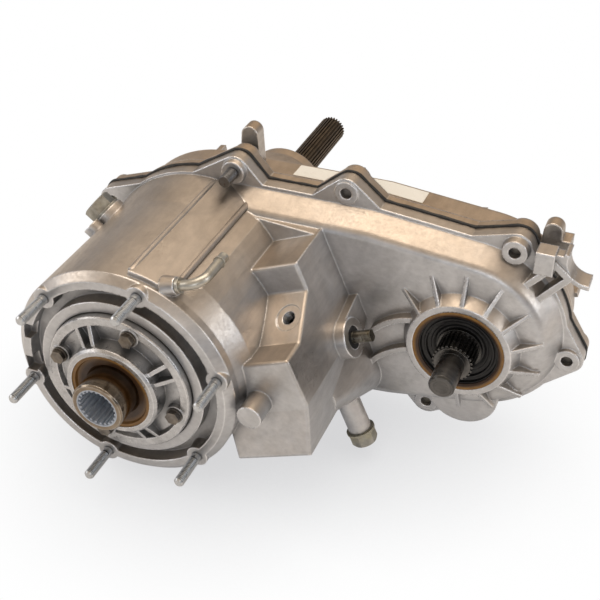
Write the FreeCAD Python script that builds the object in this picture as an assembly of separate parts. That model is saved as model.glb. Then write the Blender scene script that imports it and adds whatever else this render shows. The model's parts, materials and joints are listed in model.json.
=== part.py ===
import FreeCAD, Part
import math
import os

V = FreeCAD.Vector
os.makedirs("parts", exist_ok=True)

# Chain-driven two-speed transfer case, millimetres.
# X runs to the right, Y along the shafts towards the rear, Z up.
# The origin is the centre of the input flange on its mounting face.

# Input flange and its studs
flange_r = 91.0
flange_face_r = 85.0
flange_bore_r = 78.5
flange_recess = 12.0
stud_circle_r = 82.5
stud_count = 6
stud_first_deg = 75.7
stud_r = 4.0
stud_reach = 31.0
stud_depth = 11.0
stud_step = 0.1
stud_boss_r = 8.5
thread_gap = 0.05
hole_gap = 0.4
seat_gap = 0.02
skirt_share = 0.62
skirt_h = 1.6
pocket_degs = (164.0, 187.0)

# Gear barrel, the tube round the main axis
barrel_wall = 8.0
barrel_flare = 3.0
bulkhead_back = 25.0
hub_ring_r = 68.0

# Front and rear output axes
main_x = 0.0
main_z = 0.0
out_x = 224.0
out_z = 5.0

# Chain housing: the circles whose hull is its outline, as x, z and radius
outline_circles = [
    (out_x - 2.0, out_z + 7.0, 78.0),
    (out_x - 84.0, out_z + 63.0, 30.0),
    (main_x, main_z, flange_r + 5.0),
    (out_x - 59.0, out_z - 51.0, 32.0),
]
split_y = 162.0
seal_bead = 1.6
housing_front = 131.0
housing_wall = 6.0
lip_depth = 12.0
lip_height = 3.0
front_inset = 15.0
flange_wall = 7.0
rear_depth = 42.0
rear_inset = 4.0
case_back = split_y + seal_bead
rear_face = split_y + rear_depth

# Joint bolts: x, z, outward direction in degrees, front boss face, bolt end
bolt_r = 4.5
bolt_boss_r = 12.0
bolt_places = [
    (27.0, 105.0, 82.0, 145.0, 130.0),
    (120.0, 105.0, 90.0, 149.0, 153.0),
    (out_x + 29.0, out_z + 83.0, 66.0, 143.0, 149.0),
    (out_x + 78.5, out_z - 5.5, -8.0, 147.0, 152.0),
    (out_x - 28.0, out_z - 81.5, -98.0, 148.0, 152.0),
    (-88.0, 52.0, 149.5, 150.0, 154.0),
    (-97.0, -32.0, 198.0, 150.0, 154.0),
    (-50.0, -90.0, 241.0, 150.0, 154.0),
    (62.0, -98.0, 271.0, 150.0, 154.0),
]
bolt_head_h = 7.5
bolt_flats = 13.0
rear_boss_h = 11.0
lug_x = out_x + 47.0
lug_z = out_z + 49.0
dowel_r = 7.0
dowel_depth = 6.0
dowel_bolts = (3, 5)

# Shift housing: a box beside the barrel, turned about the main axis
box_turn = 23.0
box_out = 131.0
box_in = 60.0
box_low = -90.0
box_front = 20.0
box_toe = 10.0
box_toe_top = -54.0
box_shelf = -12.0
box_shelf_end = 44.0
box_step = 80.0
box_step_low = 10.0
box_top = 33.0
box_wall = 7.0

# Shift rail and the selector shaft, in the turned frame
rail_u = 94.0
rail_w = -44.0
rail_r = 7.0
blank_boss_r = 9.5
sector_y = 100.0
sector_w = -47.5
sector_boss_r = 16.0
sector_boss_out = 140.0
sector_shaft_r = 5.0
sector_shaft_reach = 15.5
sector_end_r = 4.8
selector_seal_r = 9.0
selector_seal_depth = 5.4
sector_plate_u = 109.5
sector_plate_t = 5.0
sector_plate_r = 30.0
sector_travel_deg = 45.0
range_travel = 22.0
mode_travel = 9.0
fork_pin_r = 3.0
fork_finger = 4.5
detent_notch_r = 3.2
range_pin_w = 25.0
mode_pin_w = -21.0
slot_gap = 0.5

# Detent and its plug, below the selector shaft
detent_r = 4.0
detent_boss_r = 9.5
detent_boss_end = -134.0
detent_thread_r = 6.5
detent_plug_shank = 19.6
detent_length = 15.0
detent_crown = 4.0
detent_bore_r = 3.1
detent_stroke = 2.2
plug_flats = 19.0
plug_head = 13.0

# Input gear and its bearing
input_front = -36.0
input_r = 20.7
input_spline_r = 15.6
input_spline_root = 13.9
input_spline_teeth = 23
bearing_gap = 0.05
input_bearing = (5.0, 19.0, 22.5, 42.5)
retainer_r = 59.0
retainer_front = -6.0
retainer_back = 4.0
retainer_hub_r = 38.0
retainer_hub_front = -17.0
retainer_bolt_r = 49.0
retainer_bolt_count = 4
retainer_bolt_first = 73.0
retainer_screw = (3.0, 24.0, 10.0, 5.0)
retainer_screw_gap = 0.2
retainer_bore_r = 36.0
register_gap = 0.8
retainer_gusset_degs = (38, 52)
input_seal_r = 32.4

# Planetary gear set
gear_module = 2.5
sun_teeth = 32
planet_teeth = 12
planet_count = 4
gear_front = 33.0
gear_back = 58.0
annulus_r = 82.0
planet_pin_r = 4.5
slide_gap = 0.08

# Main shaft, sleeves and sprockets
pilot_r = 11.0
pilot_seat_r = 17.0
main_spline_r = 20.0
main_journal_r = 21.0
main_bearing_r = 20.0
rear_spline_r = 13.4
rear_spline_teeth = 27
rear_spline_front = split_y + 174.0
rear_end = split_y + 278.0
sleeve_front = 40.0
sleeve_r = 29.0
sleeve_collar_r = 36.0
groove_r = 31.0
groove_front = 82.0
groove_width = 6.0
mode_front = 118.0
mode_r = 41.0
mode_hub_r = 34.0
mode_groove_front = 126.0
sprocket_front = 158.0
sprocket_width = 26.0
sprocket_tip_r = 53.0
sprocket_root_r = 49.0
sprocket_teeth = 34
sprocket_hub_r = 30.0
shaft_step = sprocket_front + sprocket_width + 4.0
chain_thick = 7.6
chain_width = 24.0
chain_gap = 0.4

# Front output shaft
nose_r = 10.0
nose_front = 75.0
out_spline_r = 15.7
out_spline_teeth = 26
out_spline_front = 104.0
out_seal_face = 120.0
out_seal_r = 36.0
out_hub_r = 41.0
out_hub_root_r = 47.0
out_bearing = (130.0, 17.0, 17.5, 36.0)
out_rear_bearing = (rear_face - 14.0, 13.0, 15.0, 27.5)
out_journal_r = 19.0
foot_r = 29.0
wall_rib_t = 4.5
hub_rib_count = 10
hub_rib_first = 142.0
hub_rib_step = 25.5
hub_rib_r = 63.0
hub_rib_t = 3.0

# Rear bearing, oil pump and tail housing
rear_bearing = (rear_face + 2.0, 18.0, 20.0, 40.0)
tail_front = rear_face + 22.0
tail_flange_r = 62.0
tail_flange = 11.0
tail_bolt_r = 54.5
tail_bolt_count = 6
tail_screw = (3.5, 27.0, 11.0, 6.0)
tail_end = tail_front + 91.0
tail_end_r = 37.0
tail_seal_r = 29.0
pump_r = 46.0
pump_width = 11.0
pump_bore_r = 31.0
pump_drive_r = 18.9
pickup_pipe_r = 4.0


def disc(r, y0, y1, x=0.0, z=0.0):
    return Part.makeCylinder(r, y1 - y0, V(x, y0, z), V(0, 1, 0))


def tube(r_out, r_in, y0, y1, x=0.0, z=0.0):
    return disc(r_out, y0, y1, x, z).cut(disc(r_in, y0 - 1, y1 + 1, x, z))


def block(x0, x1, y0, y1, z0, z1):
    return Part.makeBox(x1 - x0, y1 - y0, z1 - z0, V(x0, y0, z0))


def slab(points, y0, y1):
    """A flat outline in X and Z, drawn out along Y."""
    corners = [V(x, y0, z) for x, z in points]
    face = Part.Face(Part.makePolygon(corners + corners[:1]))
    return face.extrude(V(0, y1 - y0, 0))


def turned(points, x=0.0, z=0.0):
    """A closed outline of radius and Y pairs, turned about a Y axis."""
    corners = [V(x + r, y, z) for r, y in points]
    face = Part.Face(Part.makePolygon(corners + corners[:1]))
    return face.revolve(V(x, 0, z), V(0, 1, 0), 360)


def fuse(shapes):
    whole = shapes[0].multiFuse(shapes[1:])
    return whole.removeSplitter()


def join(shapes):
    """One casting from many overlapping shapes, added one at a time."""
    whole = shapes[0]
    for shape in shapes[1:]:
        whole = whole.fuse(shape)
    return whole


def carve(shape, tools):
    """A shape with each tool taken out of it in turn."""
    for tool in tools:
        shape = shape.cut(tool)
    return shape


def polar(r, deg, x=0.0, z=0.0):
    a = math.radians(deg)
    return x + r * math.cos(a), z + r * math.sin(a)


def tilt(shape):
    """From the turned frame of the shift housing to the case frame."""
    moved = shape.copy()
    moved.rotate(V(0, 0, 0), V(0, 1, 0), -box_turn)
    return moved


def spin(shape, deg, x=0.0, z=0.0):
    moved = shape.copy()
    moved.rotate(V(x, 0, z), V(0, 1, 0), -deg)
    return moved


def hull_wire(circles, y):
    """The outline of a belt laid round circles, each an x, z and radius."""
    normals = []
    count = len(circles)
    for i in range(count):
        x1, z1, r1 = circles[i]
        x2, z2, r2 = circles[(i + 1) % count]
        along = math.atan2(z2 - z1, x2 - x1)
        reach = math.hypot(x2 - x1, z2 - z1)
        normals.append(along - math.acos((r1 - r2) / reach))
    edges = []
    for i in range(count):
        x, z, r = circles[i]
        start = normals[i - 1]
        turn = (normals[i] - start) % (2 * math.pi)
        on_arc = [start, start + turn / 2, start + turn]
        arc = [V(x + r * math.cos(a), y, z + r * math.sin(a)) for a in on_arc]
        edges.append(Part.Arc(arc[0], arc[1], arc[2]).toShape())
        nx, nz, nr = circles[(i + 1) % count]
        after = V(nx + nr * math.cos(normals[i]), y, nz + nr * math.sin(normals[i]))
        edges.append(Part.makeLine(arc[2], after))
    return Part.Wire(edges)


def hull_slab(circles, y0, y1):
    return Part.Face(hull_wire(circles, y0)).extrude(V(0, y1 - y0, 0))


def shrunk(inset):
    return [(x, z, r - inset) for x, z, r in outline_circles]


def tapered(y0, inset0, y1, inset1):
    """The housing outline drawn from one inset to another."""
    ends = [hull_wire(shrunk(inset0), y0), hull_wire(shrunk(inset1), y1)]
    return Part.makeLoft(ends, True, True)


def rim_edges(shape, y):
    """The edges of a shape that lie in the plane at y."""
    found = []
    for edge in shape.Edges:
        box = edge.BoundBox
        if abs(box.YMin - y) < 0.01 and abs(box.YMax - y) < 0.01:
            found.append(edge)
    return found


def boss_plate(place, y0, y1, grow=0.0):
    """A bolt boss with the two flanks that run down to the wall."""
    x, z, out = place[:3]
    ox, oz = polar(1.0, out)
    root_back = 20.0
    root_side = 33.0
    root_r = 6.0 + grow
    right = (x - ox * root_back + oz * root_side, z - oz * root_back - ox * root_side, root_r)
    left = (x - ox * root_back - oz * root_side, z - oz * root_back + ox * root_side, root_r)
    return hull_slab([(x, z, bolt_boss_r + grow), left, right], y0, y1)


def joint_flange(y0, y1, grow=0.0):
    parts = [hull_slab(shrunk(-grow), y0, y1)]
    for place in bolt_places:
        parts.append(boss_plate(place, y0, y1, grow))
    return parts


def toothed(r_tip, r_root, teeth, y0, y1, x=0.0, z=0.0, tip_share=0.35, root_share=0.65, phase=0.0):
    """A prism whose outline has straight-sided teeth."""
    points = []
    step = 360.0 / teeth
    for i in range(teeth):
        middle = phase + i * step
        points.append(polar(r_root, middle - step * root_share / 2, x, z))
        points.append(polar(r_tip, middle - step * tip_share / 2, x, z))
        points.append(polar(r_tip, middle + step * tip_share / 2, x, z))
        points.append(polar(r_root, middle + step * root_share / 2, x, z))
    return slab(points, y0, y1)


def hexagon(flats, y0, y1, x=0.0, z=0.0, turn=0.0):
    corner = flats / 2 / math.cos(math.pi / 6)
    return slab([polar(corner, turn + 60 * i, x, z) for i in range(6)], y0, y1)


def bolt(x, z, head_y, shank_r, length, flats, head_h, towards=-1):
    """A flange-head bolt whose shank runs from head_y along Y."""
    tip = head_y + towards * length
    top = head_y - towards * head_h
    washer = head_y - towards * skirt_h
    shank = disc(shank_r, min(head_y, tip), max(head_y, tip), x, z)
    skirt = disc(flats * skirt_share, min(head_y, washer), max(head_y, washer), x, z)
    head = hexagon(flats, min(head_y, top), max(head_y, top), x, z)
    return fuse([shank, skirt, head])


def save(name, shape):
    shape.exportStep("parts/" + name + ".step")


def group(shapes):
    return Part.makeCompound(shapes)


# Places worked out from the driving dimensions
stud_degs = [stud_first_deg + 360.0 / stud_count * i for i in range(stud_count)]
retainer_degs = [retainer_bolt_first + 360.0 / retainer_bolt_count * i for i in range(retainer_bolt_count)]
sun_r = gear_module * sun_teeth / 2
planet_r = gear_module * planet_teeth / 2
ring_teeth = sun_teeth + 2 * planet_teeth
ring_r = gear_module * ring_teeth / 2
carrier_r = sun_r + planet_r
stub_height = gear_module * 0.75
root_depth = gear_module * 1.05
planet_tooth_half = 180.0 / planet_teeth
range_pin_start = sector_y - range_travel / 2
mode_pin_start = sector_y - mode_travel / 2
barrel_back = housing_front + housing_wall + 13.0
barrel_in = flange_r - barrel_wall


def box_profile(shell):
    """The shift housing's side outline, as Y and W pairs, inset by a wall."""
    back = housing_front + 9.0
    return [
        (box_toe + 1.6 * shell, box_low + shell),
        (box_front + shell, box_toe_top),
        (box_front + shell, box_shelf - shell),
        (box_shelf_end + 0.3 * shell, box_shelf - shell),
        (box_step + 0.7 * shell, box_step_low - 0.6 * shell),
        (box_step + shell, box_top - shell),
        (back, box_top - shell),
        (back, box_low + shell),
    ]


def box_solid(shell, u0, u1):
    corners = [V(u0, y, w) for y, w in box_profile(shell)]
    face = Part.Face(Part.makePolygon(corners + corners[:1]))
    return face.extrude(V(u1 - u0, 0, 0))


def shift_housing():
    """The stepped box that holds the rail and selector, with its lower corner cut back."""
    body = box_solid(0.0, box_in, box_out)
    corner_w = -52.0
    wedge_x = box_out - 9.0
    corner = [V(box_out + 1, 0, corner_w), V(box_out + 1, 0, box_low - 1), V(wedge_x, 0, box_low - 1)]
    face = Part.Face(Part.makePolygon(corner + [V(box_out, 0, corner_w)] + corner[:1]))
    body = body.cut(face.extrude(V(0, 160, 0)))
    soft = []
    for edge in body.Edges:
        box = edge.BoundBox
        along_u = box.XLength > 40 and box.YLength < 0.1 and box.YMax < housing_front
        side = box.XMin > wedge_x - 1 and box.YMin > box_toe - 1 and box.YMax < housing_front
        if along_u or side:
            soft.append(edge)
    return tilt(body.makeFillet(2.5, soft))


def shift_cavity():
    """The space inside the shift housing, shut off from the gear barrel in front."""
    hollow = box_solid(box_wall, box_in - 10, box_out - box_wall)
    toe = box_toe_top - box_wall
    hollow = hollow.cut(block(box_out - box_wall - 8, box_out, 0, 160, box_low - 1, toe - 6))
    hollow = tilt(hollow)
    return hollow.cut(disc(flange_r, 0, gear_back + 8))


def sector_boss():
    """The boss of the selector shaft, run back into the chain housing wall."""
    start = sector_plate_u + sector_plate_t + 2.5
    length = sector_boss_out - start
    nose = Part.makeCylinder(sector_boss_r, length, V(start, sector_y, sector_w), V(1, 0, 0))
    tail = hull_slab([(sector_w, sector_y, sector_boss_r), (sector_w + 12.0, housing_front + 8.0, 9.0)], 0,
                     length - 1.5)
    tail.rotate(V(0, 0, 0), V(1, 1, 1), -120)
    tail.translate(V(start, 0, 0))
    return tilt(nose.fuse(tail))


def box_hood():
    """The slope from the top of the shift housing up to the ridge of the chain housing."""
    front = housing_front - 9.0
    back = housing_front + 6.0
    slope = [V(50, front, box_top - 3), V(50, back, box_top - 3), V(50, back, box_top + 30)]
    slope.append(V(50, housing_front, box_top + 26))
    hood = Part.Face(Part.makePolygon(slope + slope[:1])).extrude(V(box_out - 50, 0, 0))
    return tilt(hood).common(hull_slab(shrunk(front_inset + 2), front - 2, back + 1))


def barrel_cheek():
    """The flatter flank where the barrel runs into the shift housing."""
    fuller = flange_r + 6.0
    body = turned([(0, 10), (flange_r - 1, 10), (fuller, 30), (fuller, housing_front + 6),
                   (0, housing_front + 6)])
    corner = fuller + 1.5
    flank = [(0, 0), polar(flange_r - 0.5, 74), polar(corner, 52), polar(corner + 1, 28), polar(corner, 4),
             polar(flange_r - 0.5, -16)]
    return body.common(slab(flank, 0, housing_front + 7))


def across(r, u0, u1, y, w):
    """A rod along the turned frame's first axis, the selector shaft's."""
    return tilt(Part.makeCylinder(r, u1 - u0, V(u0, y, w), V(1, 0, 0)))


def downward(r, w_high, w_low, u=None, y=sector_y):
    """A rod along the detent's axis, downwards from w_high."""
    place = detent_u if u is None else u
    return tilt(Part.makeCylinder(r, w_high - w_low, V(place, y, w_low), V(0, 0, 1)))


detent_u = sector_plate_u + sector_plate_t / 2
rail_x = rail_u * math.cos(math.radians(box_turn)) - rail_w * math.sin(math.radians(box_turn))
rail_z = rail_u * math.sin(math.radians(box_turn)) + rail_w * math.cos(math.radians(box_turn))


def hub_ribs():
    """Triangular gussets from the front output hub down to the wall."""
    ribs = []
    for i in range(hub_rib_count):
        y_hub = out_seal_face + 1.0
        y_root = housing_front + 3.0
        inner = out_hub_r - 3.0
        profile = [V(inner, y_root, 0), V(inner, y_hub, 0), V(out_hub_r + 1.0, y_hub, 0)]
        profile += [V(hub_rib_r, housing_front, 0), V(hub_rib_r, y_root, 0)]
        face = Part.Face(Part.makePolygon(profile + profile[:1]))
        rib = face.extrude(V(0, 0, hub_rib_t))
        rib.translate(V(out_x, 0, out_z - hub_rib_t / 2))
        ribs.append(spin(rib, hub_rib_first - hub_rib_step * i, out_x, out_z))
    return ribs


def arc_rib(start, middle, end, width, y0, y1):
    """A curved rib on the front wall, through three X and Z points."""
    sides = []
    half = width / 2
    a, b, c = [V(x, y0, z) for x, z in (start, middle, end)]
    centre = Part.Arc(a, b, c).toShape().Curve.Center
    for shift in (half, -half):
        points = [p + (p - centre).normalize() * shift for p in (V(a), V(b), V(c))]
        sides.append(points)
    outer, inner = sides
    edges = [Part.Arc(outer[0], outer[1], outer[2]).toShape()]
    edges.append(Part.makeLine(outer[2], inner[2]))
    edges.append(Part.Arc(inner[2], inner[1], inner[0]).toShape())
    edges.append(Part.makeLine(inner[0], outer[0]))
    return Part.Face(Part.Wire(edges)).extrude(V(0, y1 - y0, 0))


def box_skirt():
    """The casting that carries the shift housing down and back to the chain housing."""
    low = hull_wire([(92.0, -64.0, 14.0), (112.0, -60.0, 14.0), (112.0, -78.0, 14.0),
                     (92.0, -78.0, 14.0)][::-1], 62)
    high = hull_wire([(72.0, -50.0, 26.0), (106.0, -40.0, 26.0), (108.0, -98.0, 24.0),
                      (80.0, -106.0, 24.0)][::-1], 134)
    return tilt(Part.makeLoft([low, high], True, True))


def harness_lug():
    """The cast window beside the top bolt, for a harness clip, with its block and curled tongue."""
    y0 = split_y - 23.0
    y1 = split_y - lip_depth + 1
    frame = block(-6, 36, y0, y1, -5, 14).cut(block(0, 31, y0 - 1, y1 + 1, 0, 9))
    frame = spin(frame, 50.0)
    frame.translate(V(lug_x, 0, lug_z))
    chunk = block(lug_x - 2, lug_x + 12, y0 - 3, y1, lug_z + 25, lug_z + 43)
    tongue_x = lug_x + 37
    tongue_z = lug_z + 37
    tongue = tube(20.0, 16.5, y0 + 2, y1 + 7, tongue_x, tongue_z)
    keep = slab([(tongue_x, tongue_z)] + [polar(30, deg, tongue_x, tongue_z) for deg in (162, 190, 230,
                                                                                         274)], y0, split_y)
    stem = block(lug_x + 10, tongue_x - 17, y0 + 2, y1, lug_z + 33, lug_z + 41)
    return join([frame, chunk, tongue.common(keep), stem])


def breather_boss():
    """The seat of the breather, facing sideways from the top of the barrel."""
    return Part.makeCone(8.0, 6.4, breather_reach, breather_foot, breather_axis)


breather_axis = V(math.cos(math.radians(18)), 0, math.sin(math.radians(18)))
breather_foot = V(35.0, 15.0, 84.0)
breather_reach = 11.0
breather_thread_r = 4.0
breather_seat = breather_foot + breather_axis * breather_reach
fill_deg = 142.0
fill_y = 120.0
fill_seat_r = flange_r + 6.0
fill_thread_r = 9.0
fill_plug_size = (12.0, 22.0, 12.0)
test_y = 97.0


def radial_rod(r, r0, r1, deg, y):
    a = math.radians(deg)
    out = V(math.cos(a), 0, math.sin(a))
    return Part.makeCylinder(r, r1 - r0, out * r0 + V(0, y, 0), out)


switch_u = 118.0
switch_y = 62.0
switch_hole_r = 5.2
switch_spot_r = 10.5
switch_hole_depth = 12.0
shelf_rise = math.atan2(box_step_low - box_shelf, box_step - box_shelf_end)


def switch_frame(r, below, above):
    """A rod square to the sloping facet that carries the threaded switch hole."""
    share = (switch_y - box_shelf_end) / (box_step - box_shelf_end)
    w = box_shelf + share * (box_step_low - box_shelf)
    out = V(0, -math.sin(shelf_rise), math.cos(shelf_rise))
    foot = V(switch_u, switch_y, w) - out * below
    return tilt(Part.makeCylinder(r, below + above, foot, out))


def front_case():
    """The front half: flange, gear barrel, shift housing and chain housing in one casting."""
    barrel = turned([
        (0, 0), (flange_face_r, 0), (flange_r, 6), (flange_r, barrel_back - 40),
        (flange_r + barrel_flare, barrel_back), (0, barrel_back),
    ])
    housing = tapered(housing_front, front_inset, split_y - lip_depth, lip_height)
    housing = housing.makeFillet(8.0, rim_edges(housing, housing_front))
    solids = [barrel, barrel_cheek(), housing, shift_housing(), box_hood(), box_skirt(), sector_boss(),
              harness_lug()]
    solids += joint_flange(split_y - lip_depth, split_y)
    for x, z, out, face, end in bolt_places:
        solids.append(Part.makeCone(bolt_boss_r - 2.5, bolt_boss_r, split_y - face, V(x, face, z),
                                    V(0, 1, 0)))
    solids.append(disc(foot_r, split_y - 22, split_y, out_x + 3.0, out_z - 56.0))
    hub = turned([(0, out_seal_face), (out_hub_r, out_seal_face), (out_hub_root_r, housing_front + 2),
                  (out_hub_root_r, housing_front + 6), (0, housing_front + 6)], out_x, out_z)
    solids.append(hub)
    solids += hub_ribs()
    upper = [(out_x - 34, out_z + 17), (out_x - 52, out_z + 12), (out_x - 70, out_z - 3)]
    lower = [(out_x - 34, out_z - 11), (out_x - 58, out_z - 22), (out_x - 77, out_z - 47)]
    solids.append(arc_rib(*upper, wall_rib_t, housing_front - 8, housing_front + 3))
    solids.append(arc_rib(*lower, wall_rib_t, housing_front - 7, housing_front + 3))
    solids.append(tilt(disc(blank_boss_r, 0, box_front + 12, rail_u, rail_w)))
    solids.append(downward(detent_boss_r, box_low + 12, detent_boss_end))
    pad = tube(flange_r + 4.0, flange_r - 4.0, 9.0, split_y - 14)
    keep = slab([(0, 0), polar(140, 84), polar(140, 63)], 0, split_y)
    solids.append(pad.common(keep))
    solids.append(breather_boss())
    solids.append(radial_rod(15.0, barrel_in - 4, fill_seat_r, fill_deg, fill_y))
    solids.append(radial_rod(7.4, barrel_in - 4, fill_seat_r + 1, fill_deg, test_y))
    for deg in stud_degs:
        x, z = polar(stud_circle_r, deg)
        solids.append(disc(stud_boss_r, 0, flange_recess + 4, x, z))
    case = carve(join(solids), front_hollows())
    y0, width, bore, seat = out_bearing
    seat_ring = disc(seat + 6, housing_front + housing_wall - 1, y0 + width + 1, out_x, out_z)
    return carve(case.fuse(seat_ring), front_holes())


def front_hollows():
    gear_room = [
        (0, bulkhead_back), (barrel_in, bulkhead_back), (barrel_in, gear_front - 3),
        (annulus_r + bearing_gap, gear_front - 3), (annulus_r + bearing_gap, gear_back + 6),
        (barrel_in, gear_back + 6), (barrel_in + 3, barrel_back), (barrel_in + 5, split_y + 1),
        (0, split_y + 1),
    ]
    inner = housing_front + housing_wall
    chain_room = tapered(inner, front_inset + housing_wall + 1, split_y - lip_depth + 2, flange_wall)
    chain_end = hull_slab(shrunk(flange_wall), split_y - lip_depth + 2, split_y + 1)
    return [turned(gear_room), fuse([chain_room, chain_end]), shift_cavity()]


def front_holes():
    x0, width, bore, seat = input_bearing
    holes = []
    register = [(0, -1), (retainer_r + register_gap, -1),
                (retainer_r + register_gap, retainer_back + bearing_gap),
                (seat + bearing_gap, retainer_back + bearing_gap),
                (seat + bearing_gap, x0 + width + bearing_gap),
                (seat - 4.5, x0 + width + bearing_gap), (seat - 4.5, bulkhead_back + 1),
                (0, bulkhead_back + 1)]
    holes.append(turned(register))
    recess = tube(flange_bore_r, hub_ring_r, -1, flange_recess)
    for deg in stud_degs:
        x, z = polar(stud_circle_r, deg)
        recess = recess.cut(disc(stud_boss_r, -2, flange_recess + 1, x, z))
        holes.append(disc(stud_r + thread_gap, -1, stud_depth, x, z))
    holes.append(recess)
    for deg in pocket_degs:
        x, z = polar(flange_bore_r + 1.5, deg)
        pocket = block(x - 5.5, x + 3.5, -1, 9, z - 7, z + 7)
        holes.append(pocket)
    for deg in retainer_degs:
        x, z = polar(retainer_bolt_r, deg)
        holes.append(disc(retainer_screw[0] + thread_gap, -1, 19, x, z))
    for x, z, out, face, end in bolt_places:
        holes.append(disc(bolt_r + thread_gap, face - 1, split_y + 1, x, z))
    for x, z in dowel_places():
        holes.append(disc(dowel_r + thread_gap, split_y - dowel_depth, split_y + 1, x, z))
    y0, width, bore, seat = out_bearing
    holes.append(disc(seat + bearing_gap, out_seal_face - 1, y0 + width + 2, out_x, out_z))
    holes.append(tilt(disc(rail_r + bearing_gap, 6, box_front + 10, rail_u, rail_w)))
    holes.append(across(sector_shaft_r + bearing_gap, sector_plate_u, sector_boss_out + 1, sector_y,
                        sector_w))
    holes.append(across(selector_seal_r + bearing_gap, sector_boss_out - 6, sector_boss_out + 1, sector_y,
                        sector_w))
    holes.append(downward(detent_r + bearing_gap, box_low + 12, detent_boss_end + 20))
    holes.append(downward(detent_thread_r + thread_gap, detent_boss_end + 21, detent_boss_end - 1))
    holes.append(switch_frame(switch_spot_r, 0.6, 8))
    holes.append(switch_frame(switch_hole_r, switch_hole_depth, 1))
    holes.append(Part.makeCylinder(breather_thread_r + thread_gap, 26, breather_seat - breather_axis * 25,
                                   breather_axis))
    holes.append(radial_rod(fill_thread_r + thread_gap, barrel_in - 9, fill_seat_r + 1, fill_deg, fill_y))
    holes.append(radial_rod(3.4, barrel_in + 4, fill_seat_r + 3, fill_deg, test_y))
    return holes


def dowel_places():
    return [bolt_places[i][:2] for i in dowel_bolts]


def sealant():
    """The bead of black sealant squeezed between the two halves."""
    bead = join(joint_flange(split_y + 0.02, case_back - 0.02, 0.5))
    tools = [hull_slab(shrunk(flange_wall), split_y - 1, case_back + 1)]
    for x, z, out, face, end in bolt_places:
        tools.append(disc(bolt_r + hole_gap, split_y - 1, case_back + 1, x, z))
    for x, z in dowel_places():
        tools.append(disc(dowel_r + hole_gap, split_y - 1, case_back + 1, x, z))
    return carve(bead, tools)


def rear_case():
    """The rear half of the chain housing, with its hubs, ribs and lifting ears."""
    lip = join(joint_flange(case_back, case_back + 9))
    body = tapered(case_back + 5, lip_height, rear_face, rear_inset)
    body = body.makeFillet(7.0, rim_edges(body, rear_face))
    solids = [lip, body]
    for x, z, out, face, end in bolt_places:
        solids.append(disc(bolt_boss_r, case_back, case_back + rear_boss_h, x, z))
    solids.append(disc(tail_flange_r, rear_face - 8, tail_front))
    solids.append(disc(36.0, rear_face - 8, rear_face + 8, out_x, out_z))
    solids.append(disc(12.0, rear_face - 8, rear_face + 6, rail_x, rail_z))
    for i in range(7):
        rib = block(30.0, 76.0, rear_face - 5, rear_face + 7, -2.0, 2.0)
        rib.translate(V(out_x, 0, out_z))
        solids.append(spin(rib, -65 + 27 * i, out_x, out_z))
    for i in range(5):
        rib = block(tail_flange_r - 5, 88.0, rear_face - 5, rear_face + 12, -2.5, 2.5)
        solids.append(spin(rib, 100 + 40 * i))
    for z in (-30.0, 22.0):
        solids.append(block(50.0, out_x - 24.0, rear_face - 5, rear_face + 6, z - 2.5, z + 2.5))
    stop_x = out_x + 60.0
    stop = [disc(5.0, case_back + 2.4, rear_face - 24, stop_x, out_z + 55)]
    stop.append(block(stop_x - 5, stop_x + 5, case_back + 2.4, rear_face - 24, out_z + 47, out_z + 87))
    solids.append(fuse(stop))
    case = carve(join(solids), rear_hollows())
    y0, width, bore, seat = out_rear_bearing
    seat_ring = tube(seat + 6, seat + bearing_gap, y0 - 1, rear_face - housing_wall + 0.5, out_x, out_z)
    rail_ring = tube(12.0, rail_r + bearing_gap, rear_face - 18, rear_face - housing_wall + 0.5, rail_x,
                     rail_z)
    ears = [lifting_ear(25.0, 7.0, 183.0, 195.0, 127.0),
            lifting_ear(out_x + 51.0, 7.0, 166.0, 177.0, 105.0)]
    return join([case, seat_ring, rail_ring] + ears)


def lifting_ear(x, half, y0, y1, top):
    """A cast ear with a rounded top, tapering upwards."""
    foot = 84.0 if x < 100 else 70.0
    side = [V(x - half * 1.3, y0, foot), V(x - half, y0, top - half), V(x, y0, top)]
    side += [V(x + half, y0, top - half), V(x + half * 1.3, y0, foot)]
    arc = Part.Arc(side[1], side[2], side[3]).toShape()
    edges = [Part.makeLine(side[0], side[1]), arc]
    edges.append(Part.makeLine(side[3], side[4]))
    edges.append(Part.makeLine(side[4], side[0]))
    return Part.Face(Part.Wire(edges)).extrude(V(0, y1 - y0, 0))


def rear_hollows():
    inner_face = rear_face - housing_wall
    tools = [hull_slab(shrunk(flange_wall), case_back - 1, case_back + 5)]
    ends = [hull_wire(shrunk(flange_wall), case_back + 4),
            hull_wire(shrunk(rear_inset + housing_wall), inner_face)]
    tools.append(Part.makeLoft(ends, True, True))
    y0, width, bore, seat = rear_bearing
    tools.append(turned([(0, inner_face - 2), (seat - 4, inner_face - 2), (seat - 4, y0 - bearing_gap),
                         (seat + bearing_gap, y0 - bearing_gap), (seat + bearing_gap, tail_front + 1),
                         (0, tail_front + 1)]))
    y0, width, bore, seat = out_rear_bearing
    tools.append(disc(seat + bearing_gap, inner_face - 2, y0 + width + bearing_gap, out_x, out_z))
    tools.append(disc(rail_r + bearing_gap, inner_face - 2, rear_face + 1, rail_x, rail_z))
    for x, z, out, face, end in bolt_places:
        tools.append(disc(bolt_r + hole_gap, case_back - 1, case_back + rear_boss_h + 1, x, z))
        tools.append(disc(bolt_flats * skirt_share + 0.5, case_back + rear_boss_h, rear_face, x, z))
    for x, z in dowel_places():
        tools.append(disc(dowel_r + thread_gap, case_back - 1, case_back + dowel_depth, x, z))
    for deg in tail_bolt_degs:
        x, z = polar(tail_bolt_r, deg)
        tools.append(disc(tail_screw[0] + thread_gap, tail_front - 18, tail_front + 1, x, z))
    return tools


tail_bolt_degs = [90 + 360.0 / tail_bolt_count * (i + 0.5) for i in range(tail_bolt_count)]


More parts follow.
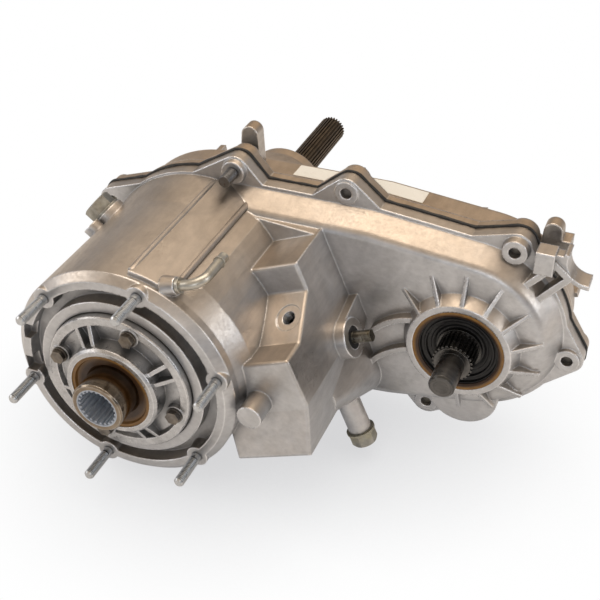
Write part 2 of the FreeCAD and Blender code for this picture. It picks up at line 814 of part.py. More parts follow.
def tail_housing():
    """The housing round the rear output shaft, bolted to the rear half."""
    body = turned([
        (pump_r + 0.4, tail_front), (tail_flange_r, tail_front), (tail_flange_r, tail_front + tail_flange),
        (56, tail_front + 17), (51, tail_front + 36), (43, tail_front + 68),
        (tail_end_r + 1, tail_front + 76),
        (tail_end_r, tail_front + 79), (tail_end_r, tail_end - 1.5), (tail_end_r - 1.5, tail_end),
        (tail_seal_r + thread_gap, tail_end), (tail_seal_r + thread_gap, tail_end - 15),
        (24, tail_end - 15), (24, tail_front + 66), (30, tail_front + 22), (pump_r + 0.4, tail_front + 18),
    ])
    solids = [body]
    for i in range(4):
        web = [V(47, tail_front + 12, -2), V(tail_flange_r - 4, tail_front + 8, -2)]
        web += [V(tail_end_r + 4, tail_end - 22, -2), V(tail_end_r - 2, tail_end - 22, -2)]
        web = Part.Face(Part.makePolygon(web + web[:1])).extrude(V(0, 0, 4))
        solids.append(spin(web, 45 + 90 * i))
    tools = []
    for deg in tail_bolt_degs:
        x, z = polar(tail_bolt_r, deg)
        tools.append(disc(tail_screw[0] + 0.3, tail_front - 1, tail_front + tail_flange + 1, x, z))
        tools.append(disc(8.5, tail_front + tail_flange - 1, tail_front + 26, x, z))
    return carve(join(solids), tools)


def input_retainer():
    """The cast cap over the input bearing, with its raised rim, gussets and seal hub."""
    cap = turned([
        (retainer_hub_r, retainer_front + 4), (retainer_r - 9, retainer_front + 4),
        (retainer_r - 7, retainer_front),
        (retainer_r - 1, retainer_front), (retainer_r, retainer_front + 1), (retainer_r, retainer_back),
        (retainer_bore_r, retainer_back), (retainer_bore_r, retainer_back - 2),
        (input_seal_r + thread_gap, retainer_back - 2),
        (input_seal_r + thread_gap, retainer_hub_front), (retainer_hub_r - 2, retainer_hub_front),
        (retainer_hub_r, retainer_hub_front + 2),
    ])
    solids = [cap]
    for deg in retainer_degs:
        x, z = polar(retainer_bolt_r, deg)
        solids.append(disc(7.5, retainer_front - 0.5, retainer_back, x, z))
        for side in retainer_gusset_degs:
            foot = retainer_front + 5
            gusset = [V(retainer_hub_r - 2, retainer_hub_front + 5, -1.5),
                      V(retainer_hub_r - 2, foot, -1.5)]
            gusset += [V(retainer_r - 5, foot, -1.5), V(retainer_r - 5, retainer_front + 1, -1.5)]
            web = Part.Face(Part.makePolygon(gusset + gusset[:1])).extrude(V(0, 0, 3))
            solids.append(spin(web, deg + side))
    tools = []
    for deg in retainer_degs:
        x, z = polar(retainer_bolt_r, deg)
        tools.append(disc(retainer_screw[0] + retainer_screw_gap, retainer_hub_front, retainer_back + 1, x,
                          z))
    return carve(join(solids), tools)


def seal_ring(r_out, r_in, face, depth, into):
    """A lip seal: a rim, a recessed face and a lip that closes on the shaft."""
    section = [
        (r_in + 1.5, 3.5), (r_in + 5, 2.5), (r_out - 3.5, 2.0), (r_out - 2.5, 0),
        (r_out, 0), (r_out, depth), (r_out - 2.5, depth), (r_out - 2.5, 4.5), (r_in, 6.0), (r_in, 4.8),
    ]
    return turned([(r, face + into * y) for r, y in section][::into])


def bearing(spec, x=0.0, z=0.0):
    """Inner ring, outer ring and shield of a deep-groove bearing."""
    y0, width, bore, seat = spec
    share = (seat - bore) / 3
    inner = tube(bore + share - 0.6, bore + bearing_gap, y0, y0 + width, x, z)
    outer = tube(seat, seat - share + 0.6, y0, y0 + width, x, z)
    shield = tube(seat - share + 0.3, bore + share - 0.3, y0 + 1, y0 + width - 1, x, z)
    return inner, outer, shield


def input_gear():
    """The splined hub, bearing journal and sun gear in one piece."""
    y0, width, bore, seat = input_bearing
    body = turned([
        (input_spline_r, input_front), (input_r - 1.2, input_front), (input_r, input_front + 1.2),
        (input_r, 2), (bore, 3), (bore, y0 + width), (27, y0 + width), (27, gear_front - 1),
        (sun_r - root_depth, gear_front - 1), (sun_r - root_depth, gear_back), (sleeve_r + 1.5, gear_back),
        (sleeve_r + 1.5, 37), (pilot_seat_r, 35), (pilot_seat_r, 12), (input_spline_r, 12),
    ])
    teeth = toothed(sun_r + stub_height, sun_r - root_depth, sun_teeth, gear_front, gear_back,
                    tip_share=0.2, root_share=0.6)
    teeth = teeth.cut(disc(sun_r - root_depth - 1.0, gear_front - 1, gear_back + 1))
    spline = toothed(input_spline_r + 0.3, input_spline_root, input_spline_teeth, input_front, 11,
                     tip_share=0.45, root_share=0.6)
    ring = disc(input_spline_r + 0.6, input_front + 0.8, 11).cut(spline)
    return body.fuse(teeth).fuse(ring)


def annulus_gear():
    hole = toothed(ring_r - stub_height, ring_r + root_depth, ring_teeth, gear_front - 3, gear_back + 7,
                   tip_share=0.2, root_share=0.6)
    return disc(annulus_r, gear_front - 2.5, gear_back + 5.5).cut(hole)


def planet_places():
    return [polar(carrier_r, 360.0 / planet_count * i) for i in range(planet_count)]


def planet_gear(x, z):
    """A planet pinion turned so that its teeth fall between those of the sun."""
    toward_sun = math.degrees(math.atan2(-z, -x))
    gear = toothed(planet_r + stub_height, planet_r - root_depth, planet_teeth, gear_front, gear_back, x, z,
                   tip_share=0.2, root_share=0.56, phase=toward_sun + planet_tooth_half)
    return gear.cut(disc(planet_pin_r + bearing_gap, gear_front - 1, gear_back + 1, x, z))


def carrier_plates():
    rear_bore = sleeve_r + 1.5
    front = tube(carrier_r + 9, 28.5, gear_front - 6, gear_front - 2)
    rear = tube(carrier_r + 9, rear_bore, gear_back + 2.5, gear_back + 8.5)
    posts = []
    for i in range(planet_count):
        x, z = polar(carrier_r + 1, 360.0 / planet_count * (i + 0.5))
        posts.append(disc(6.0, gear_front - 4, gear_back + 4, x, z))
    holes = [disc(planet_pin_r, 0, 100, x, z) for x, z in planet_places()]
    return carve(join([front, rear] + posts), holes)


def planet_pins():
    return group([disc(planet_pin_r - 0.01, gear_front - 6, gear_back + 8.5, x, z) for x,
                  z in planet_places()])


def thrust_washers():
    rings = []
    for x, z in planet_places():
        rings.append(tube(9.0, planet_pin_r + 0.1, gear_front - 1.8, gear_front - 0.3, x, z))
        rings.append(tube(9.0, planet_pin_r + 0.1, gear_back + 0.4, gear_back + 2.2, x, z))
    return group(rings)


def range_sleeve():
    """The sleeve that locks the main shaft to the input gear, and slid back, to the carrier."""
    back = groove_front + groove_width + 4
    return turned([
        (main_spline_r + slide_gap, sleeve_front), (sleeve_r, sleeve_front), (sleeve_r, groove_front - 5),
        (sleeve_collar_r, groove_front - 4), (sleeve_collar_r, groove_front), (groove_r, groove_front),
        (groove_r, groove_front + groove_width), (sleeve_collar_r, groove_front + groove_width),
        (sleeve_collar_r, back), (main_spline_r + slide_gap, back),
    ])


def mode_sleeve():
    back = mode_groove_front + groove_width + 4
    return turned([
        (mode_hub_r + slide_gap, mode_front), (mode_r, mode_front), (mode_r, mode_groove_front),
        (mode_r - 3.5, mode_groove_front), (mode_r - 3.5, mode_groove_front + groove_width),
        (mode_r, mode_groove_front + groove_width), (mode_r, back), (mode_hub_r + slide_gap, back),
    ])


def fork(groove, bottom_r, collar_r, pin_w, pin_y):
    """A shift fork: a hub on the rail, an arm to the sleeve groove and a pin for the selector."""
    y0 = groove + 0.4
    y1 = groove + groove_width - 0.4
    toward = math.degrees(math.atan2(rail_z, rail_x))
    claw = tube(collar_r + 8, bottom_r + 0.4, y0, y1)
    half = slab([polar(200, toward - 88), polar(0.1, toward), polar(200, toward + 88), polar(290, toward)],
                y0 - 1, y1 + 1)
    claw = claw.common(half)
    x, z = polar(collar_r + 4, toward)
    arm = hull_slab([(rail_x, rail_z, 9.0), (x, z, 13.0)][::-1], y0, y1)
    arm = arm.cut(disc(bottom_r + 0.4, y0 - 1, y1 + 1))
    hub = disc(11.5, y0 - 5, y1 + 5, rail_x, rail_z)
    edge = sector_w + pin_w + math.copysign(fork_finger, pin_w)
    near = sector_w + pin_w - math.copysign(fork_finger, pin_w)
    lug_u = sector_plate_u - 1.0
    web = tilt(block(rail_u, lug_u, y0 - 5, y1 + 5, min(rail_w, edge), max(rail_w, edge)))
    finger = block(rail_u, lug_u, min(y0 - 5, pin_y - fork_finger), max(y1 + 5, pin_y + fork_finger),
                   min(near, edge), max(near, edge))
    lug = web.fuse(tilt(finger))
    pin = across(fork_pin_r, lug_u - 1, sector_plate_u + sector_plate_t + 1.5, pin_y, sector_w + pin_w)
    whole = join([claw, arm, hub, lug, pin])
    return whole.cut(disc(rail_r + bearing_gap, 0, 200, rail_x, rail_z))


def slot_path(start_y, pin_w, travel):
    """Where a fork pin lies in the selector plate as the plate turns."""
    steps = 6
    places = []
    for i in range(steps + 1):
        share = i / steps
        a = math.radians(sector_travel_deg * share)
        y = start_y + travel * share - sector_y
        places.append((y * math.cos(a) - pin_w * math.sin(a), y * math.sin(a) + pin_w * math.cos(a)))
    return places


def selector():
    """The selector plate with its two cam slots and its shaft."""
    u0 = sector_plate_u
    u1 = u0 + sector_plate_t
    plate = across(sector_plate_r, u0, u1, sector_y, sector_w)
    tools = []
    for start, pin_w, travel in ((range_pin_start, range_pin_w, range_travel),
                                 (mode_pin_start, mode_pin_w, mode_travel)):
        path = slot_path(start, pin_w, travel)
        for (ya, wa), (yb, wb) in zip(path, path[1:]):
            tools.append(cam_link(ya, wa, yb, wb, u0 - 1, u1 + 1))
    for i in range(3):
        a = math.radians(-90 - sector_travel_deg / 2 * i)
        y = sector_y + (sector_plate_r + 1.2) * math.cos(a)
        w = sector_w + (sector_plate_r + 1.2) * math.sin(a)
        tools.append(across(detent_notch_r, u0 - 1, u1 + 1, y, w))
    plate = carve(plate, tools)
    collar = across(8.0, u0, u1 + 2.0, sector_y, sector_w)
    shaft = across(sector_shaft_r, u0, sector_boss_out + 0.6, sector_y, sector_w)
    shaft = shaft.fuse(across(sector_end_r, u0, sector_boss_out + sector_shaft_reach, sector_y, sector_w))
    flat_u = sector_boss_out + sector_shaft_reach - 7
    flats = []
    for side in (-1, 1):
        y = sector_y + side * (sector_shaft_r - 1.2)
        flat = block(flat_u, flat_u + 9, min(y, y + side * 4), max(y, y + side * 4), sector_w - 6,
                     sector_w + 6)
        flats.append(tilt(flat))
    return carve(join([plate, collar, shaft]), flats)


def cam_link(ya, wa, yb, wb, u0, u1):
    """One straight stretch of a cam slot, with round ends."""
    r = fork_pin_r + slot_gap
    a = across(r, u0, u1, sector_y + ya, sector_w + wa)
    b = across(r, u0, u1, sector_y + yb, sector_w + wb)
    length = math.hypot(yb - ya, wb - wa)
    bar = block(0, u1 - u0, 0, length, -r, r)
    bar.rotate(V(0, 0, 0), V(1, 0, 0), math.degrees(math.atan2(wb - wa, yb - ya)))
    bar.translate(V(u0, sector_y + ya, sector_w + wa))
    return join([a, tilt(bar), b])


def main_shaft():
    """The main shaft: pilot nose, sleeve splines, sprocket journal and the splined rear output."""
    y0, width, bore, seat = rear_bearing
    body = turned([
        (0, 14), (pilot_r - 1, 14), (pilot_r, 15), (pilot_r, 38), (main_spline_r, 38),
        (main_spline_r, 137.5),
        (main_journal_r, 137.5), (main_journal_r, shaft_step), (bore, shaft_step), (bore, y0 + width + 2),
        (pump_drive_r, y0 + width + 2), (pump_drive_r, tail_front + 22), (17, tail_front + 24),
        (17, tail_end - 18),
        (15, tail_end - 16), (15, rear_spline_front), (rear_spline_r - 1.6, rear_spline_front + 2),
        (rear_spline_r - 1.6, rear_end - 2), (rear_spline_r - 3.4, rear_end), (0, rear_end),
    ])
    teeth = toothed(rear_spline_r, rear_spline_r - 1.7, rear_spline_teeth, rear_spline_front - 1,
                    rear_end - 2,
                    tip_share=0.4, root_share=0.7)
    return body.fuse(teeth.cut(disc(rear_spline_r - 3, rear_spline_front - 2, rear_end)))


def sprocket_rim(x, z):
    rim = toothed(sprocket_tip_r, sprocket_root_r, sprocket_teeth, sprocket_front,
                  sprocket_front + sprocket_width,
                  x, z, tip_share=0.3, root_share=0.62)
    rim = rim.cut(disc(sprocket_root_r - 5, sprocket_front - 1, sprocket_front + sprocket_width + 1, x, z))
    web_y = sprocket_front + sprocket_width / 2
    return rim.fuse(tube(sprocket_root_r - 4, 26, web_y - 5, web_y + 5, x, z))


def drive_sprocket():
    """The free-running sprocket on the main shaft, with the clutch ring for the mode sleeve."""
    back = sprocket_front + sprocket_width + 3
    hub = turned([
        (main_journal_r + bearing_gap, 138.5), (mode_hub_r, 138.5), (mode_hub_r, 147),
        (sprocket_hub_r, 149), (sprocket_hub_r, back),
        (main_journal_r + bearing_gap, back),
    ])
    return hub.fuse(sprocket_rim(main_x, main_z))


def driven_sprocket():
    hub = tube(sprocket_hub_r, out_journal_r + seat_gap, sprocket_front - 9.5,
               sprocket_front + sprocket_width + 3, out_x, out_z)
    return hub.fuse(sprocket_rim(out_x, out_z))


def chain():
    """The closed silent chain round both sprockets."""
    inner_r = sprocket_tip_r + chain_gap
    y0 = sprocket_front + (sprocket_width - chain_width) / 2
    wheels = [(out_x, out_z), (main_x, main_z)]
    outer = hull_slab([(x, z, inner_r + chain_thick) for x, z in wheels], y0, y0 + chain_width)
    inner = hull_slab([(x, z, inner_r) for x, z in wheels], y0 - 1, y0 + chain_width + 1)
    return outer.cut(inner)


def front_output_shaft():
    y0, width, bore, seat = out_bearing
    back_y, back_width, back_bore, back_seat = out_rear_bearing
    body = turned([
        (0, nose_front), (nose_r - 1.6, nose_front), (nose_r, nose_front + 1.6), (nose_r, out_spline_front),
        (out_spline_r - 1.6, out_spline_front), (out_spline_r - 1.6, 124), (bore, 124),
        (bore, y0 + width + 1),
        (out_journal_r, y0 + width + 1), (out_journal_r, shaft_step), (back_bore, shaft_step),
        (back_bore, back_y + back_width - 0.5),
        (0, back_y + back_width - 0.5),
    ], out_x, out_z)
    teeth = toothed(out_spline_r, out_spline_r - 1.7, out_spline_teeth, out_spline_front + 1, 125, out_x,
                    out_z,
                    tip_share=0.4, root_share=0.7)
    return body.fuse(teeth.cut(disc(out_spline_r - 3, out_spline_front, 126, out_x, out_z)))


def aimed(shape, place, direction):
    """A shape built along +Y from the origin, moved to a place and turned to a direction."""
    moved = shape.copy()
    moved.Placement = FreeCAD.Placement(place, FreeCAD.Rotation(V(0, 1, 0), direction))
    return moved


def plug(shank_r, shank, flats, head):
    """A hex-headed plug built along +Y, with its seat at the origin and its head in front."""
    washer = disc(flats * skirt_share, seat_gap, 1.8)
    crown = turned([(0, 1.8), (flats * 0.6, 1.8), (flats * 0.6, head - 1.4), (flats * 0.5, head),
                    (0, head)])
    return join([disc(shank_r, -shank, 0.5), washer, hexagon(flats, 1.0, head).common(crown)])


def fill_plug():
    a = math.radians(fill_deg)
    out = V(math.cos(a), 0, math.sin(a))
    return aimed(plug(fill_thread_r, *fill_plug_size), out * fill_seat_r + V(0, fill_y, 0), out)


def detent_plug():
    a = math.radians(-box_turn)
    down = V(math.sin(-a), 0, -math.cos(a))
    place = tilt(Part.Vertex(V(detent_u, sector_y, detent_boss_end))).Point
    return aimed(plug(detent_thread_r, detent_plug_shank, plug_flats, plug_head), place, down)


def detent_tip():
    return sector_w - sector_plate_r - 0.3


def detent_plunger():
    """A hollow plunger, open below for its spring."""
    tip = detent_tip()
    return downward(detent_r, tip, tip - detent_length).cut(
        downward(detent_bore_r, tip - detent_crown, tip - detent_length - 1))


def detent_spring():
    """The spring between the plunger's crown and the plug, kept clear by the plunger's stroke."""
    top = detent_tip() - detent_crown - detent_stroke
    spring = downward(detent_bore_r - 0.35, top, detent_boss_end + detent_plug_shank + 0.2)
    return spring.cut(downward(detent_bore_r - 1.3, top + 1, detent_boss_end + 10))


def breather():
    """The bent vent pipe, screwed into the side of its boss and turned back along the barrel."""
    lead = 8.0
    bend = 11.0
    run = 26.0
    pipe_r = 3.9
    start = breather_seat + breather_axis * 0.3
    corner = start + breather_axis * (lead + bend)
    back = V(0, 1, 0)
    first = start + breather_axis * lead
    last = corner + back * bend
    middle = first + back * bend + (breather_axis - back) * bend * math.sqrt(0.5)
    path = Part.Wire([Part.makeLine(start, first), Part.Arc(first, middle, last).toShape(),
                      Part.makeLine(last, last + back * run)])
    ring = Part.Wire(Part.makeCircle(pipe_r, start, breather_axis))
    pipe = path.makePipeShell([ring], True, False)
    foot = Part.makeCylinder(breather_thread_r, 14, start - breather_axis * 14, breather_axis)
    collar = Part.makeCylinder(5.8, 2.6, start, breather_axis)
    barb = Part.makeCone(pipe_r + 0.9, pipe_r, 5, last + back * (run - 8), back)
    pipe = join([pipe, foot, collar, barb])
    return pipe.cut(Part.makeCylinder(pipe_r - 1.4, 8, last + back * (run - 6), back))


def label():
    """The blank sticker on the top of the rear half."""
    over = tapered(case_back + 5, lip_height - 0.4, rear_face, rear_inset - 0.4)
    under = tapered(case_back + 5, lip_height - 0.05, rear_face, rear_inset - 0.05)
    return over.cut(under).common(block(64, 172, rear_face - 25, rear_face - 7, 60, 130))


def oil_pickup():
    """The screen on the floor of the rear half and the pipe that feeds the pump."""
    wall_inside = rear_face - housing_wall - hole_gap
    screen = block(-16, 16, wall_inside - 11.1, wall_inside, -81.0, -74.0)
    pipe = Part.makeCylinder(pickup_pipe_r, 34, V(0, wall_inside - 5.6, -75), V(0, 0, 1))
    elbow = disc(pickup_pipe_r, wall_inside - 9.6, wall_inside, 0, -44)
    return join([screen, pipe, elbow])


save("front_case", front_case())
save("rear_case", rear_case())
save("case_sealant", sealant())
save("case_bolts", group([
    bolt(x, z, case_back + rear_boss_h + seat_gap, bolt_r, case_back + rear_boss_h - end, bolt_flats,
         bolt_head_h)
    for x, z, out, face, end in bolt_places
]))
save("case_dowels", group([
    tube(dowel_r, bolt_r + 0.3, split_y - dowel_depth + 0.2, case_back + dowel_depth - 0.2, x, z)
    for x, z in dowel_places()
]))
save("input_studs", group([
    turned([(0, -stud_reach), (stud_r - 1.3, -stud_reach), (stud_r, -stud_reach + 2.2), (stud_r, 0),
            (stud_r - stud_step, 0), (stud_r - stud_step, stud_depth - 0.3), (0, stud_depth - 0.3)],
           *polar(stud_circle_r, deg))
    for deg in stud_degs
]))
save("input_retainer", input_retainer())
save("retainer_bolts", group([
    bolt(*polar(retainer_bolt_r, deg), retainer_front - 0.52, *retainer_screw, 1) for deg in retainer_degs
]))
save("input_seal", seal_ring(input_seal_r, input_r + bearing_gap, retainer_hub_front + 0.8, 10.2, 1))
inner, outer, shield = bearing(input_bearing)
save("input_bearing_inner", inner)
save("input_bearing_outer", outer)
save("input_bearing_shield", shield)
save("input_gear", input_gear())
save("pilot_bearing", tube(pilot_seat_r - bearing_gap, pilot_r + bearing_gap, 16, 33))
save("annulus_gear", annulus_gear())
save("planet_carrier", carrier_plates())
save("planet_pins", planet_pins())
save("planet_washers", thrust_washers())
for number, (x, z) in enumerate(planet_places(), 1):
    save("planet_gear_" + str(number), planet_gear(x, z))
save("range_sleeve", range_sleeve())
save("range_fork", fork(groove_front, groove_r, sleeve_collar_r, range_pin_w, range_pin_start))
save("mode_hub", tube(mode_hub_r, main_spline_r + bearing_gap, mode_front + 2, mode_front + 18))
save("mode_sleeve", mode_sleeve())
save("mode_fork", fork(mode_groove_front, mode_r - 3.5, mode_r, mode_pin_w, mode_pin_start))
save("shift_rail", disc(rail_r, 6.5, rear_face + 0.5, rail_x, rail_z))
save("selector", selector())
save("selector_seal", tilt(
    Part.makeCylinder(selector_seal_r, selector_seal_depth, V(sector_boss_out - 5.6, sector_y, sector_w),
                      V(1, 0, 0)).cut(
        Part.makeCylinder(sector_shaft_r + bearing_gap, 8, V(sector_boss_out - 7, sector_y, sector_w),
                          V(1, 0, 0)))))
save("detent_plunger", detent_plunger())
save("detent_spring", detent_spring())
save("detent_plug", detent_plug())
save("fill_plug", fill_plug())
save("breather", breather())
save("main_shaft", main_shaft())
save("drive_sprocket", drive_sprocket())
save("drive_chain", chain())
save("driven_sprocket", driven_sprocket())
save("sprocket_washer", tube(32, main_bearing_r + 0.1, shaft_step + 0.4, shaft_step + 2.4))
save("bearing_spacer", tube(25, main_bearing_r + 0.1, shaft_step + 2.6, rear_bearing[0] - 0.2))
save("front_output_shaft", front_output_shaft())
save("front_output_seal", turned([
    (31.4, out_seal_face + 1.2), (33.0, out_seal_face + 0.2), (out_seal_r, out_seal_face + 0.2),
    (out_seal_r, out_bearing[0] - 0.3), (31.4, out_bearing[0] - 0.3)], out_x, out_z))
save("front_output_lip", turned([
    (out_bearing[2] + bearing_gap, 125.5), (28.5, 122.5), (31.3, 122.0), (31.3, 128.5),
    (28.5, 128.5), (out_bearing[2] + bearing_gap, 128.8)], out_x, out_z))
inner, outer, shield = bearing(out_bearing, out_x, out_z)
save("output_bearing_inner", inner)
save("output_bearing_outer", outer)
save("output_bearing_shield", shield)
inner, outer, shield = bearing(out_rear_bearing, out_x, out_z)
save("output_rear_bearing_inner", inner)
save("output_rear_bearing_outer", outer)
inner, outer, shield = bearing(rear_bearing)
save("rear_bearing_inner", inner)
save("rear_bearing_outer", outer)
save("rear_bearing_shield", shield)
save("tail_housing", tail_housing())
save("tail_bolts", group([
    bolt(*polar(tail_bolt_r, deg), tail_front + tail_flange + seat_gap,
         *tail_screw) for deg in tail_bolt_degs
]))
save("tail_seal", seal_ring(tail_seal_r, 15 + bearing_gap, tail_end - 2, 12.5, -1))
save("oil_pump", tube(pump_r, pump_bore_r, tail_front + 2, tail_front + 2 + pump_width))
save("pump_rotor", tube(pump_bore_r - hole_gap, pump_drive_r + bearing_gap, tail_front + 2.5,
                        tail_front + 1.5 + pump_width))
save("oil_pickup", oil_pickup())
save("label", label())
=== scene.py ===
"""Chain-driven transfer case: finishes, threads, sealant bead, light and camera."""
import json
import math

import bmesh
import bpy
from mathutils import Matrix, Vector


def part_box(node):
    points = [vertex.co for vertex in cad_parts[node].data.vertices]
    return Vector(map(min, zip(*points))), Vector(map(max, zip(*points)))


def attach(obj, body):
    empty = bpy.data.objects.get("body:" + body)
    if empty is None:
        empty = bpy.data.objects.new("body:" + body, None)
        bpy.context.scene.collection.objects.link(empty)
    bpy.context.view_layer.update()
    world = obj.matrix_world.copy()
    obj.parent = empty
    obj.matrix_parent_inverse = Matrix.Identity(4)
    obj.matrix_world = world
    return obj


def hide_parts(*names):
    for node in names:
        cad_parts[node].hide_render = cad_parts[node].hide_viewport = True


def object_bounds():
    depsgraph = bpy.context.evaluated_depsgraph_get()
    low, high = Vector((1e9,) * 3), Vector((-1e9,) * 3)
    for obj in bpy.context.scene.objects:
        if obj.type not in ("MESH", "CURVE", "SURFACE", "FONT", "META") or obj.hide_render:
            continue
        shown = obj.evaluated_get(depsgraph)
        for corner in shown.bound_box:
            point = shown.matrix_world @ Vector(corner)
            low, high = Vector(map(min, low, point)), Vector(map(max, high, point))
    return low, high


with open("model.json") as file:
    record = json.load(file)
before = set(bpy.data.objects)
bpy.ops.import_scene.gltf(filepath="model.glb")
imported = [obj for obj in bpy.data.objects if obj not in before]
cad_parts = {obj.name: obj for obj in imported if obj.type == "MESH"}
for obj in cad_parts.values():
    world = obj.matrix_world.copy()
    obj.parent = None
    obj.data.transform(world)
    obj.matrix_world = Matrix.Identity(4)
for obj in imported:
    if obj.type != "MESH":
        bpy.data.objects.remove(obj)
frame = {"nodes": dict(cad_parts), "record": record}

nodes = frame["nodes"]
cad_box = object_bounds()

MM = 0.001

# The flange studs and the joint bolt that stands out in front
STUD_CIRCLE = 82.5 * MM
STUD_FIRST = 75.7
STUD_COUNT = 6
STUD_R = 4.0 * MM
STUD_PITCH = 1.5 * MM
STUD_PLAIN = 7.0 * MM
STUD_DEPTH = 0.75 * MM
STUD_TIP = 1.2 * MM
STUD_SUNK = 2.0 * MM
JOINT_BOLT_AT = (27.0 * MM, 105.0 * MM)
JOINT_BOLT_R = 5.0 * MM
JOINT_BOLT_DEPTH = 0.46 * MM
JOINT_BOLT_TIP = 0.5 * MM
JOINT_BOLT_THREADED = 15.0 * MM
JOINT_BOLT_PROUD = 0.3 * MM


# ---------------------------------------------------------------- materials

class Graph:
    """A short way to add and join the nodes of one tree."""

    def __init__(self, tree):
        self.tree = tree
        self.tree.nodes.clear()

    def add(self, kind, **settings):
        node = self.tree.nodes.new(kind)
        for name, value in settings.items():
            setattr(node, name, value)
        return node

    def link(self, source, target):
        self.tree.links.new(source, target)

    def put(self, socket, value):
        """Joins a socket to another one, or sets it to a plain value."""
        if isinstance(value, bpy.types.NodeSocket):
            self.link(value, socket)
        elif isinstance(value, tuple):
            socket.default_value = (*value, 1.0)
        else:
            socket.default_value = value

    def fill(self, node, **values):
        """Sets or joins a node's inputs by name, with _ for a space."""
        for name, value in values.items():
            self.put(node.inputs[name.replace("_", " ")], value)
        return node

    def math(self, operation, a, b=0.0, clamp=False):
        node = self.add("ShaderNodeMath", operation=operation, use_clamp=clamp)
        self.put(node.inputs[0], a)
        self.put(node.inputs[1], b)
        return node.outputs[0]

    def times(self, a, b):
        return self.math("MULTIPLY", a, b)

    def plus(self, a, b, clamp=False):
        return self.math("ADD", a, b, clamp)

    def minus(self, a, b, clamp=False):
        return self.math("SUBTRACT", a, b, clamp)

    def length(self, a, b):
        return self.math("SQRT", self.plus(self.times(a, a), self.times(b, b)))

    def place(self):
        """Where a point lies on its piece."""
        return self.add("ShaderNodeTexCoord").outputs["Object"]

    def ramp(self, factor, stops):
        node = self.add("ShaderNodeValToRGB")
        while len(node.color_ramp.elements) < len(stops):
            node.color_ramp.elements.new(0.5)
        for element, (place, shade) in zip(node.color_ramp.elements, stops):
            element.position = place
            element.color = (*shade, 1.0)
        self.link(factor, node.inputs[0])
        return node.outputs[0]

    def level(self, factor, low, high, out_low=0.0, out_high=1.0):
        node = self.add("ShaderNodeMapRange")
        node.clamp = True
        self.link(factor, node.inputs[0])
        for socket, value in zip(node.inputs[1:5], (low, high, out_low, out_high)):
            self.put(socket, value)
        return node.outputs[0]

    def blend(self, factor, a, b, mode="MIX"):
        node = self.add("ShaderNodeMix", data_type="RGBA", blend_type=mode)
        for socket, value in ((node.inputs[0], factor), (node.inputs[6], a), (node.inputs[7], b)):
            self.put(socket, value)
        return node.outputs[2]

    def noise(self, place, scale, detail=3.0, rough=0.55):
        node = self.add("ShaderNodeTexNoise")
        self.fill(node, Vector=place, Scale=scale, Detail=detail, Roughness=rough)
        return node.outputs["Fac"]


def group_tree(name, inputs, outputs):
    """A node group with named inputs and outputs, ready for its nodes."""
    tree = bpy.data.node_groups.new(name, "ShaderNodeTree")
    graph = Graph(tree)
    for label, kind, value in inputs:
        socket = tree.interface.new_socket(label, in_out="INPUT", socket_type=kind)
        socket.default_value = value
    for label, kind in outputs:
        tree.interface.new_socket(label, in_out="OUTPUT", socket_type=kind)
    return tree, graph, graph.add("NodeGroupInput"), graph.add("NodeGroupOutput")


FLOAT = "NodeSocketFloat"
CORNER_REACH = 12.0 * MM
THREAD_REACH = 1.1 * MM


def make_cast_skin():
    """Die-cast surface: fine pitting, flow marks, cold laps and handling stains."""
    tree, g, given, out = group_tree("cast_skin", [
        ("Grain", FLOAT, 1.0), ("Flow", FLOAT, 1.0), ("Stain", FLOAT, 0.5)],
        [("Height", FLOAT), ("Tone", FLOAT), ("Stained", FLOAT), ("Gloss", FLOAT)])
    place = g.place()
    fine = g.noise(place, 1500.0, 3.0, 0.6)
    pits = g.noise(place, 520.0, 4.0, 0.65)
    swell = g.noise(place, 60.0, 3.0, 0.5)
    wave = g.add("ShaderNodeTexNoise")
    g.fill(wave, Vector=place, Scale=28.0, Detail=5.0, Roughness=0.6, Distortion=1.4)
    flow = wave.outputs["Fac"]
    streak_place = g.add("ShaderNodeMapping")
    g.link(place, streak_place.inputs["Vector"])
    streak_place.inputs["Scale"].default_value = (1.0, 0.22, 1.6)
    streaks = g.noise(streak_place.outputs[0], 170.0, 4.0, 0.6)
    grain = g.times(g.plus(g.times(fine, 0.35), pits), given.outputs["Grain"])
    height = g.plus(grain, g.times(g.plus(flow, swell), given.outputs["Flow"]))
    g.link(height, out.inputs["Height"])
    tone = g.plus(g.times(flow, 0.55), g.times(streaks, 0.45))
    g.link(g.level(tone, 0.34, 0.66), out.inputs["Tone"])
    blot = g.noise(place, 13.0, 6.0, 0.68)
    stain = g.times(g.level(blot, 0.5, 0.72), given.outputs["Stain"])
    g.link(stain, out.inputs["Stained"])
    g.link(g.level(pits, 0.35, 0.65), out.inputs["Gloss"])
    return tree


def make_soft_edge():
    """Rounded edges in the light, and how far a point lies on an outer edge or in a corner."""
    tree, g, given, out = group_tree("soft_edge", [("Radius", FLOAT, 1.0 * MM)], [
        ("Normal", "NodeSocketVector"), ("Edge", FLOAT), ("Corner", FLOAT)])
    bevel = g.add("ShaderNodeBevel", samples=6)
    g.link(given.outputs["Radius"], bevel.inputs["Radius"])
    g.link(bevel.outputs[0], out.inputs["Normal"])
    # Corner is ambient occlusion turned round; the finishes paint shade into corners by it.
    hidden = g.add("ShaderNodeAmbientOcclusion", samples=6, only_local=False)
    hidden.inputs["Distance"].default_value = CORNER_REACH
    g.link(g.level(hidden.outputs["AO"], 0.35, 0.85, 1.0, 0.0), out.inputs["Corner"])
    # Edge marks open edges, where the rounded normal turns; the metal finishes paint them bright by it, as
    # wear and highlight.
    plain = g.add("ShaderNodeNewGeometry")
    dot = g.add("ShaderNodeVectorMath", operation="DOT_PRODUCT")
    g.link(bevel.outputs[0], dot.inputs[0])
    g.link(plain.outputs["Normal"], dot.inputs[1])
    turned = g.level(dot.outputs["Value"], 0.9, 0.995, 1.0, 0.0)
    g.link(g.times(turned, g.level(hidden.outputs["AO"], 0.5, 0.8)), out.inputs["Edge"])
    return tree


